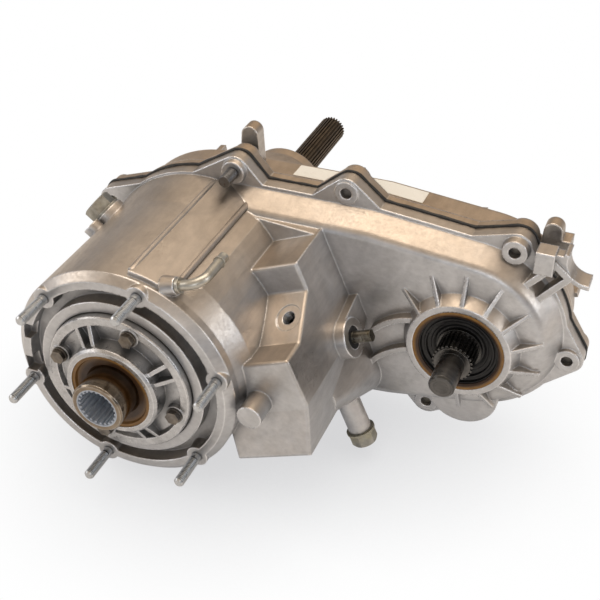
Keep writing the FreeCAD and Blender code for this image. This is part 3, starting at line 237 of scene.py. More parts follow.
def make_lathe_marks():
    """Fine rings left by turning or grinding round a Y axis at a given place."""
    tree, g, given, out = group_tree("lathe_marks", [
        ("Axis X", FLOAT, 0.0), ("Axis Z", FLOAT, 0.0), ("Depth", FLOAT, 1.0)],
        [("Height", FLOAT), ("Tone", FLOAT)])
    place = g.place()
    parts = g.add("ShaderNodeSeparateXYZ")
    g.link(place, parts.inputs[0])
    dx = g.minus(parts.outputs["X"], given.outputs["Axis X"])
    dz = g.minus(parts.outputs["Z"], given.outputs["Axis Z"])
    radius = g.length(dx, dz)
    line = g.add("ShaderNodeCombineXYZ")
    g.link(g.plus(parts.outputs["Y"], g.times(radius, 1.37)), line.inputs[0])
    g.link(radius, line.inputs[1])
    rings = g.noise(line.outputs[0], 2600.0, 2.0, 0.7)
    bands = g.noise(line.outputs[0], 210.0, 3.0, 0.6)
    drift = g.noise(place, 90.0, 4.0, 0.6)
    g.link(g.times(rings, given.outputs["Depth"]), out.inputs["Height"])
    tone = g.plus(g.times(bands, 0.5), g.times(drift, 0.5))
    g.link(g.level(tone, 0.35, 0.65), out.inputs["Tone"])
    return tree


def make_oil_film():
    """Where oil and dust have gathered: broad smears with fine dry specks."""
    tree, g, given, out = group_tree("oil_film", [("Cover", FLOAT, 0.5)], [
        ("Film", FLOAT), ("Dust", FLOAT)])
    place = g.place()
    smear = g.add("ShaderNodeTexNoise")
    g.fill(smear, Vector=place, Scale=55.0, Detail=5.0, Roughness=0.6, Distortion=0.8)
    edge = g.minus(0.72, g.times(given.outputs["Cover"], 0.4))
    g.link(g.level(smear.outputs["Fac"], edge, 0.74), out.inputs["Film"])
    g.link(g.level(g.noise(place, 900.0, 2.0, 0.5), 0.6, 0.75), out.inputs["Dust"])
    return tree


def make_dust_and_top_light():
    """Tan oxide and dust on the faces that look upwards, with painted warm overhead light on the same
    faces.
    """
    tree, g, given, out = group_tree("dust_and_top_light", [("Amount", FLOAT, 0.6)], [("Film", FLOAT)])
    place = g.place()
    facing = g.add("ShaderNodeSeparateXYZ")
    g.link(g.add("ShaderNodeNewGeometry").outputs["Normal"], facing.inputs[0])
    cloud = g.noise(place, 22.0, 5.0, 0.6)
    rise = g.plus(facing.outputs["Z"], g.times(g.minus(cloud, 0.5), 0.6))
    g.link(g.times(g.level(rise, 0.15, 0.85), given.outputs["Amount"]), out.inputs["Film"])
    return tree


CAST_SKIN = make_cast_skin()
DUST_AND_TOP_LIGHT = make_dust_and_top_light()
SOFT_EDGE = make_soft_edge()
LATHE_MARKS = make_lathe_marks()
OIL_FILM = make_oil_film()


def scaled(shade, share):
    """A colour made brighter or darker, with white as its limit."""
    return tuple(min(1.0, part * share) for part in shade)


def use(g, tree, **values):
    """One use of a node group."""
    node = g.add("ShaderNodeGroup")
    node.node_tree = tree
    return g.fill(node, **values)


def shade(name, base, metallic, bump_strength, bump_depth, **plain):
    """A material with its principled shader, and a bump over a rounded normal if it has one."""
    material = bpy.data.materials.new(name)
    material.use_nodes = True
    g = Graph(material.node_tree)
    shader = g.add("ShaderNodeBsdfPrincipled")
    surface = g.add("ShaderNodeOutputMaterial")
    g.link(shader.outputs[0], surface.inputs["Surface"])
    shader.inputs["Base Color"].default_value = (*base, 1.0)
    shader.inputs["Metallic"].default_value = metallic
    bump = g.add("ShaderNodeBump")
    bump.inputs["Strength"].default_value = bump_strength
    bump.inputs["Distance"].default_value = bump_depth
    g.link(bump.outputs[0], shader.inputs["Normal"])
    for label, value in plain.items():
        shader.inputs[label.replace("_", " ")].default_value = value
    return material, g, shader, bump


TAN_DUST_AND_TOP_LIGHT = (0.98, 0.80, 0.61)
OIL_SHADE = (0.03, 0.025, 0.02)
FINE_EDGE = 0.5 * MM


def cast_alloy(name, bright, dull, rough_low, rough_high, grain=1.0, stain=0.4, corner_shade_and_grime=0.6,
               radius=2.0 * MM, film=0.75):
    """Satin die-cast alloy with edges painted bright, for wear and highlight, and painted grey shade in its
    corners, where they are also rougher.
    """
    material, g, shader, bump = shade(name, bright, 1.0, 0.34, 0.00022)
    skin = use(g, CAST_SKIN, Grain=grain, Flow=1.1, Stain=stain)
    edge = use(g, SOFT_EDGE, Radius=radius)
    colour = g.blend(skin.outputs["Tone"], dull, bright)
    stained = tuple(c * k for c, k in zip(dull, (0.80, 0.76, 0.70)))
    colour = g.blend(skin.outputs["Stained"], colour, stained)
    # Upward faces tinted tan: dust and oxide, and painted warm light from overhead.
    dust_and_top_light_node = use(g, DUST_AND_TOP_LIGHT, Amount=film)
    colour = g.blend(dust_and_top_light_node.outputs["Film"], colour, TAN_DUST_AND_TOP_LIGHT, "MULTIPLY")
    # Painted shade: corners darkened by ambient occlusion; the same mask roughens them a little.
    corner_shade_and_grime_mask = g.times(edge.outputs["Corner"], corner_shade_and_grime)
    colour = g.blend(corner_shade_and_grime_mask, colour, scaled(dull, 0.42))
    # Painted highlight: open edges brightened, standing also for wear.
    wear_and_highlight = scaled(bright, 1.45)
    colour = g.blend(g.times(edge.outputs["Edge"], 0.85), colour, wear_and_highlight)
    g.fill(shader, Base_Color=colour)
    rough = g.level(skin.outputs["Gloss"], 0.0, 1.0, rough_low, rough_high)
    rough = g.plus(rough, g.times(corner_shade_and_grime_mask, 0.25))
    rough = g.minus(rough, g.times(edge.outputs["Edge"], 0.12), True)
    g.fill(shader, Roughness=rough)
    g.fill(bump, Height=skin.outputs["Height"], Normal=edge.outputs["Normal"])
    return material


def turned_steel(name, bright, dark, rough_low, rough_high, axis=(0.0, 0.0), film=0.4, marks=1.0):
    """Turned or ground steel with fine rings, an oil film, painted shade in its corners and edges painted
    brighter, for wear and highlight.
    """
    material, g, shader, bump = shade(name, bright, 1.0, 0.30, 0.00006)
    rings = use(g, LATHE_MARKS, Axis_X=axis[0], Axis_Z=axis[1], Depth=marks)
    edge = use(g, SOFT_EDGE, Radius=FINE_EDGE)
    oil = use(g, OIL_FILM, Cover=film)
    colour = g.blend(rings.outputs["Tone"], dark, bright)
    colour = g.blend(g.times(oil.outputs["Film"], film), colour, OIL_SHADE)
    # Painted shade in corners, from ambient occlusion.
    colour = g.blend(g.times(edge.outputs["Corner"], 0.45), colour, scaled(dark, 0.3))
    # Painted highlight: open edges brightened, standing also for wear.
    wear_and_highlight = scaled(bright, 1.35)
    colour = g.blend(g.times(edge.outputs["Edge"], 0.75), colour, wear_and_highlight)
    g.fill(shader, Base_Color=colour)
    rough = g.level(oil.outputs["Film"], 0.0, 1.0, rough_high, rough_low)
    g.fill(shader, Roughness=g.plus(rough, g.times(oil.outputs["Dust"], 0.12), True))
    g.fill(bump, Height=rings.outputs["Height"], Normal=edge.outputs["Normal"])
    return material


def plated_steel(name, bright, dark, rough_low, rough_high, tint=(0.55, 0.5, 0.3), tint_amount=0.2):
    """Zinc or phosphate plate: mottled crystals, a faint tint, painted shade under the heads and in
    corners, and edges painted brighter, for wear and highlight.
    """
    material, g, shader, bump = shade(name, bright, 1.0, 0.30, 0.0001)
    place = g.place()
    edge = use(g, SOFT_EDGE, Radius=FINE_EDGE)
    oil = use(g, OIL_FILM, Cover=0.35)
    crystal = g.add("ShaderNodeTexVoronoi")
    g.fill(crystal, Vector=place, Scale=700.0)
    mottle = g.noise(place, 140.0, 5.0, 0.6)
    colour = g.blend(g.level(mottle, 0.35, 0.65), dark, bright)
    tinted = g.level(g.noise(place, 45.0), 0.45, 0.62)
    colour = g.blend(g.times(tinted, tint_amount), colour, tint)
    # Painted shade under the heads and in corners, from ambient occlusion.
    colour = g.blend(g.times(edge.outputs["Corner"], 0.5), colour, scaled(dark, 0.25))
    # Painted highlight: open edges brightened, standing also for wear.
    wear_and_highlight = scaled(bright, 1.4)
    colour = g.blend(g.times(edge.outputs["Edge"], 0.7), colour, wear_and_highlight)
    g.fill(shader, Base_Color=colour)
    rough = g.level(crystal.outputs["Distance"], 0.0, 0.6, rough_low, rough_high)
    g.fill(shader, Roughness=g.minus(rough, g.times(oil.outputs["Film"], 0.1), True))
    g.fill(bump, Height=g.plus(crystal.outputs["Distance"], mottle), Normal=edge.outputs["Normal"])
    return material


def threaded_steel(name, crest, root, rough_low, rough_high):
    """Rolled thread: bright crests, painted shade down in the grooves and in corners."""
    material, g, shader, bump = shade(name, crest, 1.0, 0.25, 0.00008)
    place = g.place()
    edge = use(g, SOFT_EDGE, Radius=0.2 * MM)
    # Painted shade: ambient occlusion within a thread's depth darkens the grooves to the root colour.
    groove = g.add("ShaderNodeAmbientOcclusion", samples=8)
    groove.inputs["Distance"].default_value = THREAD_REACH
    open_to_light = g.level(groove.outputs["AO"], 0.5, 0.88)
    mottle = g.noise(place, 320.0, 4.0, 0.6)
    colour = g.blend(g.level(mottle, 0.35, 0.65), scaled(crest, 0.82), crest)
    colour = g.blend(open_to_light, root, colour)
    # Painted shade in corners, from ambient occlusion.
    colour = g.blend(g.times(edge.outputs["Corner"], 0.4), colour, scaled(root, 0.5))
    g.fill(shader, Base_Color=colour)
    g.fill(shader, Roughness=g.level(mottle, 0.3, 0.7, rough_low, rough_high))
    g.fill(bump, Height=mottle)
    return material


def seal_rubber(name, fresh, aged, rough_low, rough_high, axis):
    """Moulded seal rubber with fine mould rings, a film of oil and a dusty bloom."""
    material, g, shader, bump = shade(name, fresh, 0.0, 0.35, 0.0001, Specular_IOR_Level=0.45)
    place = g.place()
    rings = use(g, LATHE_MARKS, Axis_X=axis[0], Axis_Z=axis[1], Depth=1.0)
    edge = use(g, SOFT_EDGE, Radius=0.6 * MM)
    oil = use(g, OIL_FILM, Cover=0.5)
    colour = g.blend(g.level(g.noise(place, 120.0, 4.0, 0.6), 0.35, 0.7), fresh, aged)
    colour = g.blend(g.times(rings.outputs["Tone"], 0.35), colour, scaled(fresh, 0.6))
    bloom = tuple(0.5 * part + 0.12 for part in aged)
    colour = g.blend(g.times(oil.outputs["Dust"], 0.25), colour, bloom)
    g.fill(shader, Base_Color=colour)
    g.fill(shader, Roughness=g.level(oil.outputs["Film"], 0.0, 1.0, rough_high, rough_low))
    g.fill(bump, Height=rings.outputs["Height"], Normal=edge.outputs["Normal"])
    return material


def cured_sealant(name):
    """Black silicone: lumpy, half glossy, with paler dust on top."""
    material, g, shader, bump = shade(name, (0.012, 0.012, 0.013), 0.0, 0.5, 0.0004, Specular_IOR_Level=0.5)
    place = g.place()
    lumps = g.noise(place, 210.0, 4.0, 0.6)
    dust = g.level(g.noise(place, 800.0, 3.0, 0.6), 0.55, 0.75)
    colour = g.blend(g.level(lumps, 0.4, 0.7), (0.008, 0.008, 0.009), (0.03, 0.029, 0.028))
    g.fill(shader, Base_Color=g.blend(g.times(dust, 0.3), colour, (0.09, 0.085, 0.08)))
    g.fill(shader, Roughness=g.level(lumps, 0.3, 0.7, 0.28, 0.55))
    g.fill(bump, Height=lumps)
    return material


def sticker_paper(name):
    """A blank white sticker with paper fibre, yellowed edges and a few smudges."""
    material, g, shader, bump = shade(name, (0.84, 0.84, 0.80), 0.0, 0.25, 0.00008, Specular_IOR_Level=0.35)
    place = g.place()
    fibre_place = g.add("ShaderNodeMapping")
    g.link(place, fibre_place.inputs["Vector"])
    fibre_place.inputs["Scale"].default_value = (1.0, 3.0, 1.0)
    fibre = g.noise(fibre_place.outputs[0], 900.0, 4.0, 0.6)
    edge = use(g, SOFT_EDGE, Radius=0.8 * MM)
    colour = g.blend(g.level(fibre, 0.3, 0.7), (0.80, 0.80, 0.76), (0.88, 0.88, 0.85))
    smudge = g.level(g.noise(place, 60.0, 5.0, 0.65), 0.55, 0.75, 0.0, 0.4)
    colour = g.blend(smudge, colour, (0.60, 0.56, 0.48))
    g.fill(shader, Base_Color=g.blend(g.times(edge.outputs["Edge"], 0.6), colour, (0.66, 0.6, 0.48)))
    g.fill(shader, Roughness=g.level(fibre, 0.3, 0.7, 0.42, 0.6))
    g.fill(bump, Height=fibre)
    return material


def moulded_plastic(name):
    """Black moulded plastic of the oil pickup: spark-eroded grain and a film of oil."""
    material, g, shader, bump = shade(name, (0.02, 0.02, 0.02), 0.0, 0.3, 0.0001, Specular_IOR_Level=0.5)
    place = g.place()
    grain = g.noise(place, 1100.0, 3.0, 0.6)
    oil = use(g, OIL_FILM, Cover=0.6)
    colour = g.blend(g.level(grain, 0.35, 0.65), (0.014, 0.014, 0.014), (0.035, 0.034, 0.033))
    g.fill(shader, Base_Color=colour)
    g.fill(shader, Roughness=g.level(oil.outputs["Film"], 0.0, 1.0, 0.5, 0.22))
    g.fill(bump, Height=grain)
    return material


OUT_AXIS = (224.0 * MM, 5.0 * MM)
BORE_R = 16.4 * MM
BORE_EDGE = 0.3 * MM
NEAR_INPUT = 50.0 * MM
INPUT_RIM = (26.0 * MM, 31.8 * MM)
OUTPUT_RIM = (32.8 * MM, 34.8 * MM)


def make_radius_from():
    """The distance from a Y axis at a given place."""
    tree, g, given, out = group_tree("radius_from", [
        ("Axis X", FLOAT, 0.0), ("Axis Z", FLOAT, 0.0)], [("Radius", FLOAT)])
    parts = g.add("ShaderNodeSeparateXYZ")
    g.link(g.place(), parts.inputs[0])
    dx = g.minus(parts.outputs["X"], given.outputs["Axis X"])
    dz = g.minus(parts.outputs["Z"], given.outputs["Axis Z"])
    radius = g.length(dx, dz)
    g.link(radius, out.inputs["Radius"])
    return tree


RADIUS_FROM = make_radius_from()


def bored_steel(name):
    """Dark polished hub; its chamfer is painted bright, for bare metal and highlight, and its splined bore
    pale blue-grey, a painted stand-in for reflected light.
    """
    material, g, shader, bump = shade(name, (0.3, 0.25, 0.2), 1.0, 0.25, 0.00005, Specular_IOR_Level=0.4)
    marks = use(g, LATHE_MARKS, Depth=1.0)
    edge = use(g, SOFT_EDGE, Radius=0.6 * MM)
    oil = use(g, OIL_FILM, Cover=0.5)
    radius = use(g, RADIUS_FROM)
    outside = g.level(radius.outputs["Radius"], BORE_R, BORE_R + BORE_EDGE)
    colour = g.blend(marks.outputs["Tone"], (0.17, 0.135, 0.10), (0.36, 0.30, 0.235))
    colour = g.blend(g.times(oil.outputs["Film"], 0.5), colour, (0.08, 0.055, 0.035))
    # Painted highlight: open edges brightened, standing also for the bare metal of the chamfer.
    colour = g.blend(g.times(edge.outputs["Edge"], 0.9), colour, (0.82, 0.80, 0.77))
    # Painted reflection: the bore gets a pale blue-grey, mostly non-metallic colour that stands in for the
    # light it reflects.
    bore = g.blend(marks.outputs["Tone"], (0.34, 0.39, 0.47), (0.58, 0.63, 0.70))
    g.fill(shader, Base_Color=g.blend(outside, bore, colour))
    g.fill(shader, Metallic=g.level(outside, 0.0, 1.0, 0.2, 1.0))
    g.fill(shader, Roughness=g.level(outside, 0.0, 1.0, 0.42, 0.16))
    g.fill(bump, Height=marks.outputs["Height"], Normal=edge.outputs["Normal"])
    return material


def amber_rim(name):
    """Amber moulded rubber, golden at its rim and dark towards the shaft."""
    material, g, shader, bump = shade(name, (0.2, 0.09, 0.02), 0.0, 0.35, 0.0001, Specular_IOR_Level=0.55)
    place = g.place()
    from_input = use(g, RADIUS_FROM).outputs["Radius"]
    from_output = use(g, RADIUS_FROM, Axis_X=OUT_AXIS[0], Axis_Z=OUT_AXIS[1]).outputs["Radius"]
    near_input = g.math("LESS_THAN", from_input, NEAR_INPUT)
    input_rim = g.times(near_input, g.level(from_input, *INPUT_RIM))
    output_rim = g.times(g.minus(1.0, near_input), g.level(from_output, *OUTPUT_RIM))
    rim = g.plus(input_rim, output_rim, True)
    rings = use(g, LATHE_MARKS, Depth=0.8)
    oil = use(g, OIL_FILM, Cover=0.5)
    colour = g.blend(rim, (0.035, 0.014, 0.005), (0.33, 0.165, 0.028))
    clouded = g.level(g.noise(place, 140.0, 4.0, 0.6), 0.4, 0.7, 0.0, 0.5)
    colour = g.blend(clouded, colour, (0.10, 0.045, 0.012))
    colour = g.blend(g.times(rings.outputs["Tone"], 0.3), colour, (0.05, 0.022, 0.006))
    g.fill(shader, Base_Color=colour)
    g.fill(shader, Roughness=g.level(oil.outputs["Film"], 0.0, 1.0, 0.42, 0.18))
    g.fill(bump, Height=rings.outputs["Height"])
    return material


CAST = {
    "cast_alloy": ((0.64, 0.645, 0.66), (0.47, 0.475, 0.49), 0.30, 0.46, {}),
    "cast_alloy_rear": ((0.60, 0.57, 0.54), (0.43, 0.405, 0.38), 0.34, 0.52, {"stain": 0.7, "film": 0.9}),
    "cast_alloy_retainer": ((0.66, 0.665, 0.68), (0.42, 0.425, 0.435), 0.24, 0.40,
                            {"grain": 0.8, "corner_shade_and_grime": 0.85, "radius": 1.2 * MM, "film": 0.2}),
    "cast_alloy_inner": ((0.60, 0.59, 0.58), (0.44, 0.43, 0.42), 0.35, 0.5, {"film": 0.2}),
}
PLATED = {
    "zinc_bolt": ((0.34, 0.34, 0.34), (0.18, 0.18, 0.185), 0.26, 0.42, {}),
    "zinc_plug": ((0.44, 0.43, 0.39), (0.26, 0.25, 0.22), 0.30, 0.48, {"tint_amount": 0.35}),
    "dark_bolt": ((0.24, 0.22, 0.20), (0.09, 0.085, 0.08), 0.24, 0.4,
                  {"tint": (0.3, 0.22, 0.12), "tint_amount": 0.25}),
    "selector_steel": ((0.24, 0.23, 0.20), (0.06, 0.055, 0.045), 0.22, 0.36,
                       {"tint": (0.30, 0.24, 0.12), "tint_amount": 0.25}),
}
# Each thread: crest colour, root colour painted into the grooves as shade, roughness low and high, and
# extras.
THREADED = {
    "zinc_stud": ((0.62, 0.64, 0.66), (0.07, 0.08, 0.09), 0.22, 0.36, {}),
    "bolt_thread": ((0.20, 0.20, 0.205), (0.025, 0.025, 0.026), 0.24, 0.38, {}),
}
TURNED = {
    "plain_steel": ((0.56, 0.56, 0.57), (0.42, 0.42, 0.43), 0.2, 0.34, {}),
    "bearing_steel": ((0.64, 0.65, 0.67), (0.5, 0.51, 0.53), 0.12, 0.24, {"film": 0.5}),
    "shield_steel": ((0.46, 0.46, 0.47), (0.34, 0.34, 0.35), 0.24, 0.4, {"film": 0.5}),
    "gear_steel": ((0.44, 0.44, 0.46), (0.30, 0.30, 0.31), 0.18, 0.32, {"film": 0.6}),
    "chain_steel": ((0.34, 0.34, 0.36), (0.22, 0.22, 0.23), 0.2, 0.36, {"film": 0.7}),
    "dark_shaft": ((0.17, 0.13, 0.09), (0.08, 0.06, 0.04), 0.25, 0.42, {"film": 0.6}),
    "dark_shaft_front": ((0.17, 0.165, 0.16), (0.06, 0.06, 0.06), 0.16, 0.28,
                         {"axis": OUT_AXIS, "film": 0.5}),
    "vent_alloy": ((0.60, 0.58, 0.52), (0.42, 0.40, 0.35), 0.24, 0.36, {"film": 0.15, "marks": 0.4}),
}

finishes = {
    "bronzed_steel": bored_steel("bronzed_steel"),
    "amber_rubber": amber_rim("amber_rubber"),
    "black_rubber": seal_rubber("black_rubber", (0.006, 0.006, 0.007), (0.012, 0.012, 0.013),
                                0.20, 0.42, OUT_AXIS),
    "sealant": cured_sealant("sealant"),
    "black_plastic": moulded_plastic("black_plastic"),
    "white_label": sticker_paper("white_label"),
}
for make, kinds in ((cast_alloy, CAST), (plated_steel, PLATED), (threaded_steel, THREADED),
                    (turned_steel, TURNED)):
    for name, (bright, dark, rough_low, rough_high, extra) in kinds.items():
        finishes[name] = make(name, bright, dark, rough_low, rough_high, **extra)

slot_of = {part["node"]: part["material_slot"] for part in frame["record"]["subparts"]}
for name, part in nodes.items():
    for holder in part.material_slots:
        holder.material = finishes[slot_of[name]]


# ---------------------------------------------------------------- pieces

def add_piece(name, mesh_bm, body, finish, smooth_angle=None):
    """Turns a bmesh into a named piece that rides on a body."""
    bmesh.ops.recalc_face_normals(mesh_bm, faces=mesh_bm.faces)
    mesh = bpy.data.meshes.new(name)
    mesh_bm.to_mesh(mesh)
    mesh_bm.free()
    piece = bpy.data.objects.new(name, mesh)
    bpy.context.scene.collection.objects.link(piece)
    mesh.materials.append(finish)
    for face in mesh.polygons:
        face.use_smooth = True
    if smooth_angle is not None:
        mesh.set_sharp_from_angle(angle=math.radians(smooth_angle))
    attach(piece, body)
    return piece


def bridge(bm, rings):
    """Faces from each closed ring of vertices to the next."""
    for low, high in zip(rings, rings[1:]):
        for k in range(len(low)):
            j = (k + 1) % len(low)
            bm.faces.new((low[k], low[j], high[j], high[k]))


AROUND = 24
ROWS_PER_TURN = 8
TIP_SLOPE = 0.9


def add_thread(bm, at, start, end, radius, depth, plain_end, tip_chamfer):
    """A closed rod along Y from start to end, threaded except for its last plain stretch."""
    rows = int(round((end - start) / STUD_PITCH * ROWS_PER_TURN))
    rings = []
    for i in range(rows + 1):
        y = start + (end - start) * i / rows
        ring = []
        from_tip = abs(y - start)
        for k in range(AROUND):
            turn = k / AROUND
            phase = (from_tip / STUD_PITCH - turn) % 1.0
            crest = 1.0 - abs(2.0 * phase - 1.0)
            cut = depth * (1.0 - min(1.0, crest * 1.5))
            if from_tip > abs(end - start) - plain_end:
                cut = 0.0
            r = min(radius - cut, radius - tip_chamfer + from_tip * TIP_SLOPE)
            a = 2.0 * math.pi * turn
            ring.append(bm.verts.new((at[0] + r * math.cos(a), y, at[1] + r * math.sin(a))))
        rings.append(ring)
    bridge(bm, rings)
    bm.faces.new(rings[0][::-1])
    bm.faces.new(rings[-1])


def flange_studs():
    """The six studs with their rolled threads."""
    tip_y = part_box("input_studs")[0].y
    bm = bmesh.new()
    for i in range(STUD_COUNT):
        a = math.radians(STUD_FIRST + 360.0 / STUD_COUNT * i)
        at = (STUD_CIRCLE * math.cos(a), STUD_CIRCLE * math.sin(a))
        add_thread(bm, at, tip_y, STUD_SUNK, STUD_R, STUD_DEPTH, STUD_PLAIN, STUD_TIP)
    piece = add_piece("flange_studs", bm, "case_body", finishes["zinc_stud"], 32)
    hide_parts("input_studs")


def joint_bolt_thread():
    """The thread of the joint bolt that comes out through the top boss, dark with old thread lock."""
    tip_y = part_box("case_bolts")[0].y
    bm = bmesh.new()
    add_thread(bm, JOINT_BOLT_AT, tip_y - JOINT_BOLT_PROUD, tip_y + JOINT_BOLT_THREADED,
               JOINT_BOLT_R, JOINT_BOLT_DEPTH, 0.0, JOINT_BOLT_TIP)
    add_piece("joint_bolt_thread", bm, "case_body", finishes["bolt_thread"], 32)


# Each step of the lip: how far in from its rim and how far behind its front, in mm
LIP_STEPS = ((0.0, 0.0), (0.9, 0.0), (1.5, 2.4), (3.4, 2.9), (4.0, 1.8), (5.2, 1.8), (5.8, 3.9),
             (8.4, 4.6), (9.2, 3.8), (10.0, 3.9))
LIP_SHAFT_R = 17.56 * MM
LIP_AROUND = 96


def output_seal_lip():
    """The black lip of the front output seal, moulded in steps down to the shaft."""
    low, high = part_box("front_output_lip")
    centre = (low + high) / 2
    rim = (high.x - low.x) / 2
    section = [(rim, high.y)]
    section += [(rim - inward * MM, low.y + depth * MM) for inward, depth in LIP_STEPS]
    section += [(LIP_SHAFT_R + 1.6 * MM, low.y + 5.4 * MM), (LIP_SHAFT_R, low.y + 5.2 * MM)]
    section += [(LIP_SHAFT_R, high.y - 0.3 * MM), (LIP_SHAFT_R + 6.0 * MM, high.y)]
    bm = bmesh.new()
    rings = []
    for r, y in section:
        ring = []
        for k in range(LIP_AROUND):
            a = 2.0 * math.pi * k / LIP_AROUND
            ring.append(bm.verts.new((centre.x + r * math.cos(a), y, centre.z + r * math.sin(a))))
        rings.append(ring)
    bridge(bm, rings + rings[:1])
    piece = add_piece("output_seal_lip", bm, "case_body", finishes["black_rubber"], 34)
    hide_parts("front_output_lip")


RIDGE_DEGS = (83.5, 63.5)
RIDGE_R = 95.0 * MM
RIDGE_HALF = 2.6 * MM
RIDGE_HEIGHT = 1.5 * MM
RIDGE_FRONT, RIDGE_BACK = 12.0 * MM, 146.0 * MM
RIDGE_SUNK = 0.8 * MM
RIDGE_FOOT = 2.2 * MM
RIDGE_STEPS, RIDGE_ACROSS = 48, 8


def barrel_ridges():
    """Two rounded flow ridges cast along the top of the gear barrel."""
    for number, deg in enumerate(RIDGE_DEGS, 1):
        out = Vector((math.cos(math.radians(deg)), 0.0, math.sin(math.radians(deg))))
        side = Vector((-out.z, 0.0, out.x))
        bm = bmesh.new()
        rings = []
        for i in range(RIDGE_STEPS + 1):
            share = i / RIDGE_STEPS
            y = RIDGE_FRONT + (RIDGE_BACK - RIDGE_FRONT) * share
            rise = RIDGE_HEIGHT * min(1.0, 6.0 * share, 6.0 * (1.0 - share)) ** 0.5
            ring = []
            along = Vector((0.0, y, 0.0))
            for k in range(RIDGE_ACROSS + 1):
                a = math.pi * k / RIDGE_ACROSS
                spot = out * (RIDGE_R - RIDGE_SUNK + (rise + RIDGE_SUNK) * math.sin(a) ** 1.5)
                ring.append(bm.verts.new(spot + side * (RIDGE_HALF * math.cos(a)) + along))
            ring.append(bm.verts.new(out * (RIDGE_R - RIDGE_FOOT) + along))
            rings.append(ring)
        bridge(bm, rings)
        bm.faces.new(rings[0][::-1])
        bm.faces.new(rings[-1])
        add_piece("barrel_ridge_" + str(number), bm, "case_body", finishes["cast_alloy"], 50)


# The switch hole: how far the shift box is turned, the rise and run of its slope, and the
# mouth of the hole across and along the box, in mm
BOX_TURN = math.radians(23.0)
SLOPE_RISE, SLOPE_RUN = 22.0, 36.0
MOUTH_ACROSS, MOUTH_ALONG, MOUTH_HEIGHT = 118.0, 62.0, -12.0 + SLOPE_RISE * 18.0 / SLOPE_RUN
SWITCH_AROUND = 32
SWITCH_PITCH = 1.25 * MM
SWITCH_DEPTH = 0.5 * MM
SWITCH_R = 5.15 * MM
SWITCH_SLEEVE_R = 5.5 * MM
SWITCH_LENGTH = 9.0 * MM
SWITCH_SUNK = 0.7 * MM


def switch_hole_thread():
    """The cut thread that lines the switch hole, bright against the casting."""
    rise = math.atan2(SLOPE_RISE, SLOPE_RUN)
    cos_turn, sin_turn = math.cos(BOX_TURN), math.sin(BOX_TURN)
    out = Vector((-sin_turn * math.cos(rise), -math.sin(rise), cos_turn * math.cos(rise)))
    foot = Vector((MOUTH_ACROSS * cos_turn - MOUTH_HEIGHT * sin_turn, MOUTH_ALONG,
                   MOUTH_ACROSS * sin_turn + MOUTH_HEIGHT * cos_turn)) * MM
    side = out.orthogonal().normalized()
    other = out.cross(side)
    rows = int(SWITCH_LENGTH / SWITCH_PITCH * ROWS_PER_TURN)
    bm = bmesh.new()

    def ring(row, threaded):
        """One ring of points, on the thread or on the plain outside of its sleeve."""
        down = SWITCH_SUNK + SWITCH_LENGTH * row / rows
        spots = []
        for k in range(SWITCH_AROUND):
            r = SWITCH_SLEEVE_R
            if threaded:
                phase = (down / SWITCH_PITCH - k / SWITCH_AROUND) % 1.0
                crest = 1.0 - abs(2.0 * phase - 1.0)
                r = SWITCH_R - SWITCH_DEPTH * crest * min(1.0, row / ROWS_PER_TURN)
            a = 2.0 * math.pi * k / SWITCH_AROUND
            spoke = side * math.cos(a) + other * math.sin(a)
            spots.append(bm.verts.new(foot - out * down + spoke * r))
        return spots

    rings = [ring(row, True) for row in range(rows + 1)]
    outer = [ring(row, False) for row in (0, rows)]
    bridge(bm, [outer[0]] + rings + [outer[1], outer[0]])
    add_piece("switch_hole_thread", bm, "case_body", finishes["bearing_steel"], 32)


BEAD_R = 1.25 * MM
BEAD_SPACING = 2.0 * MM
BEAD_TUCKED = 0.25 * MM
BEAD_DRIFT = 0.35 * MM
SAME_SPOT = 0.02 * MM
SAME_PLANE = 0.05 * MM
CASE_MIDDLE_X = 100.0 * MM


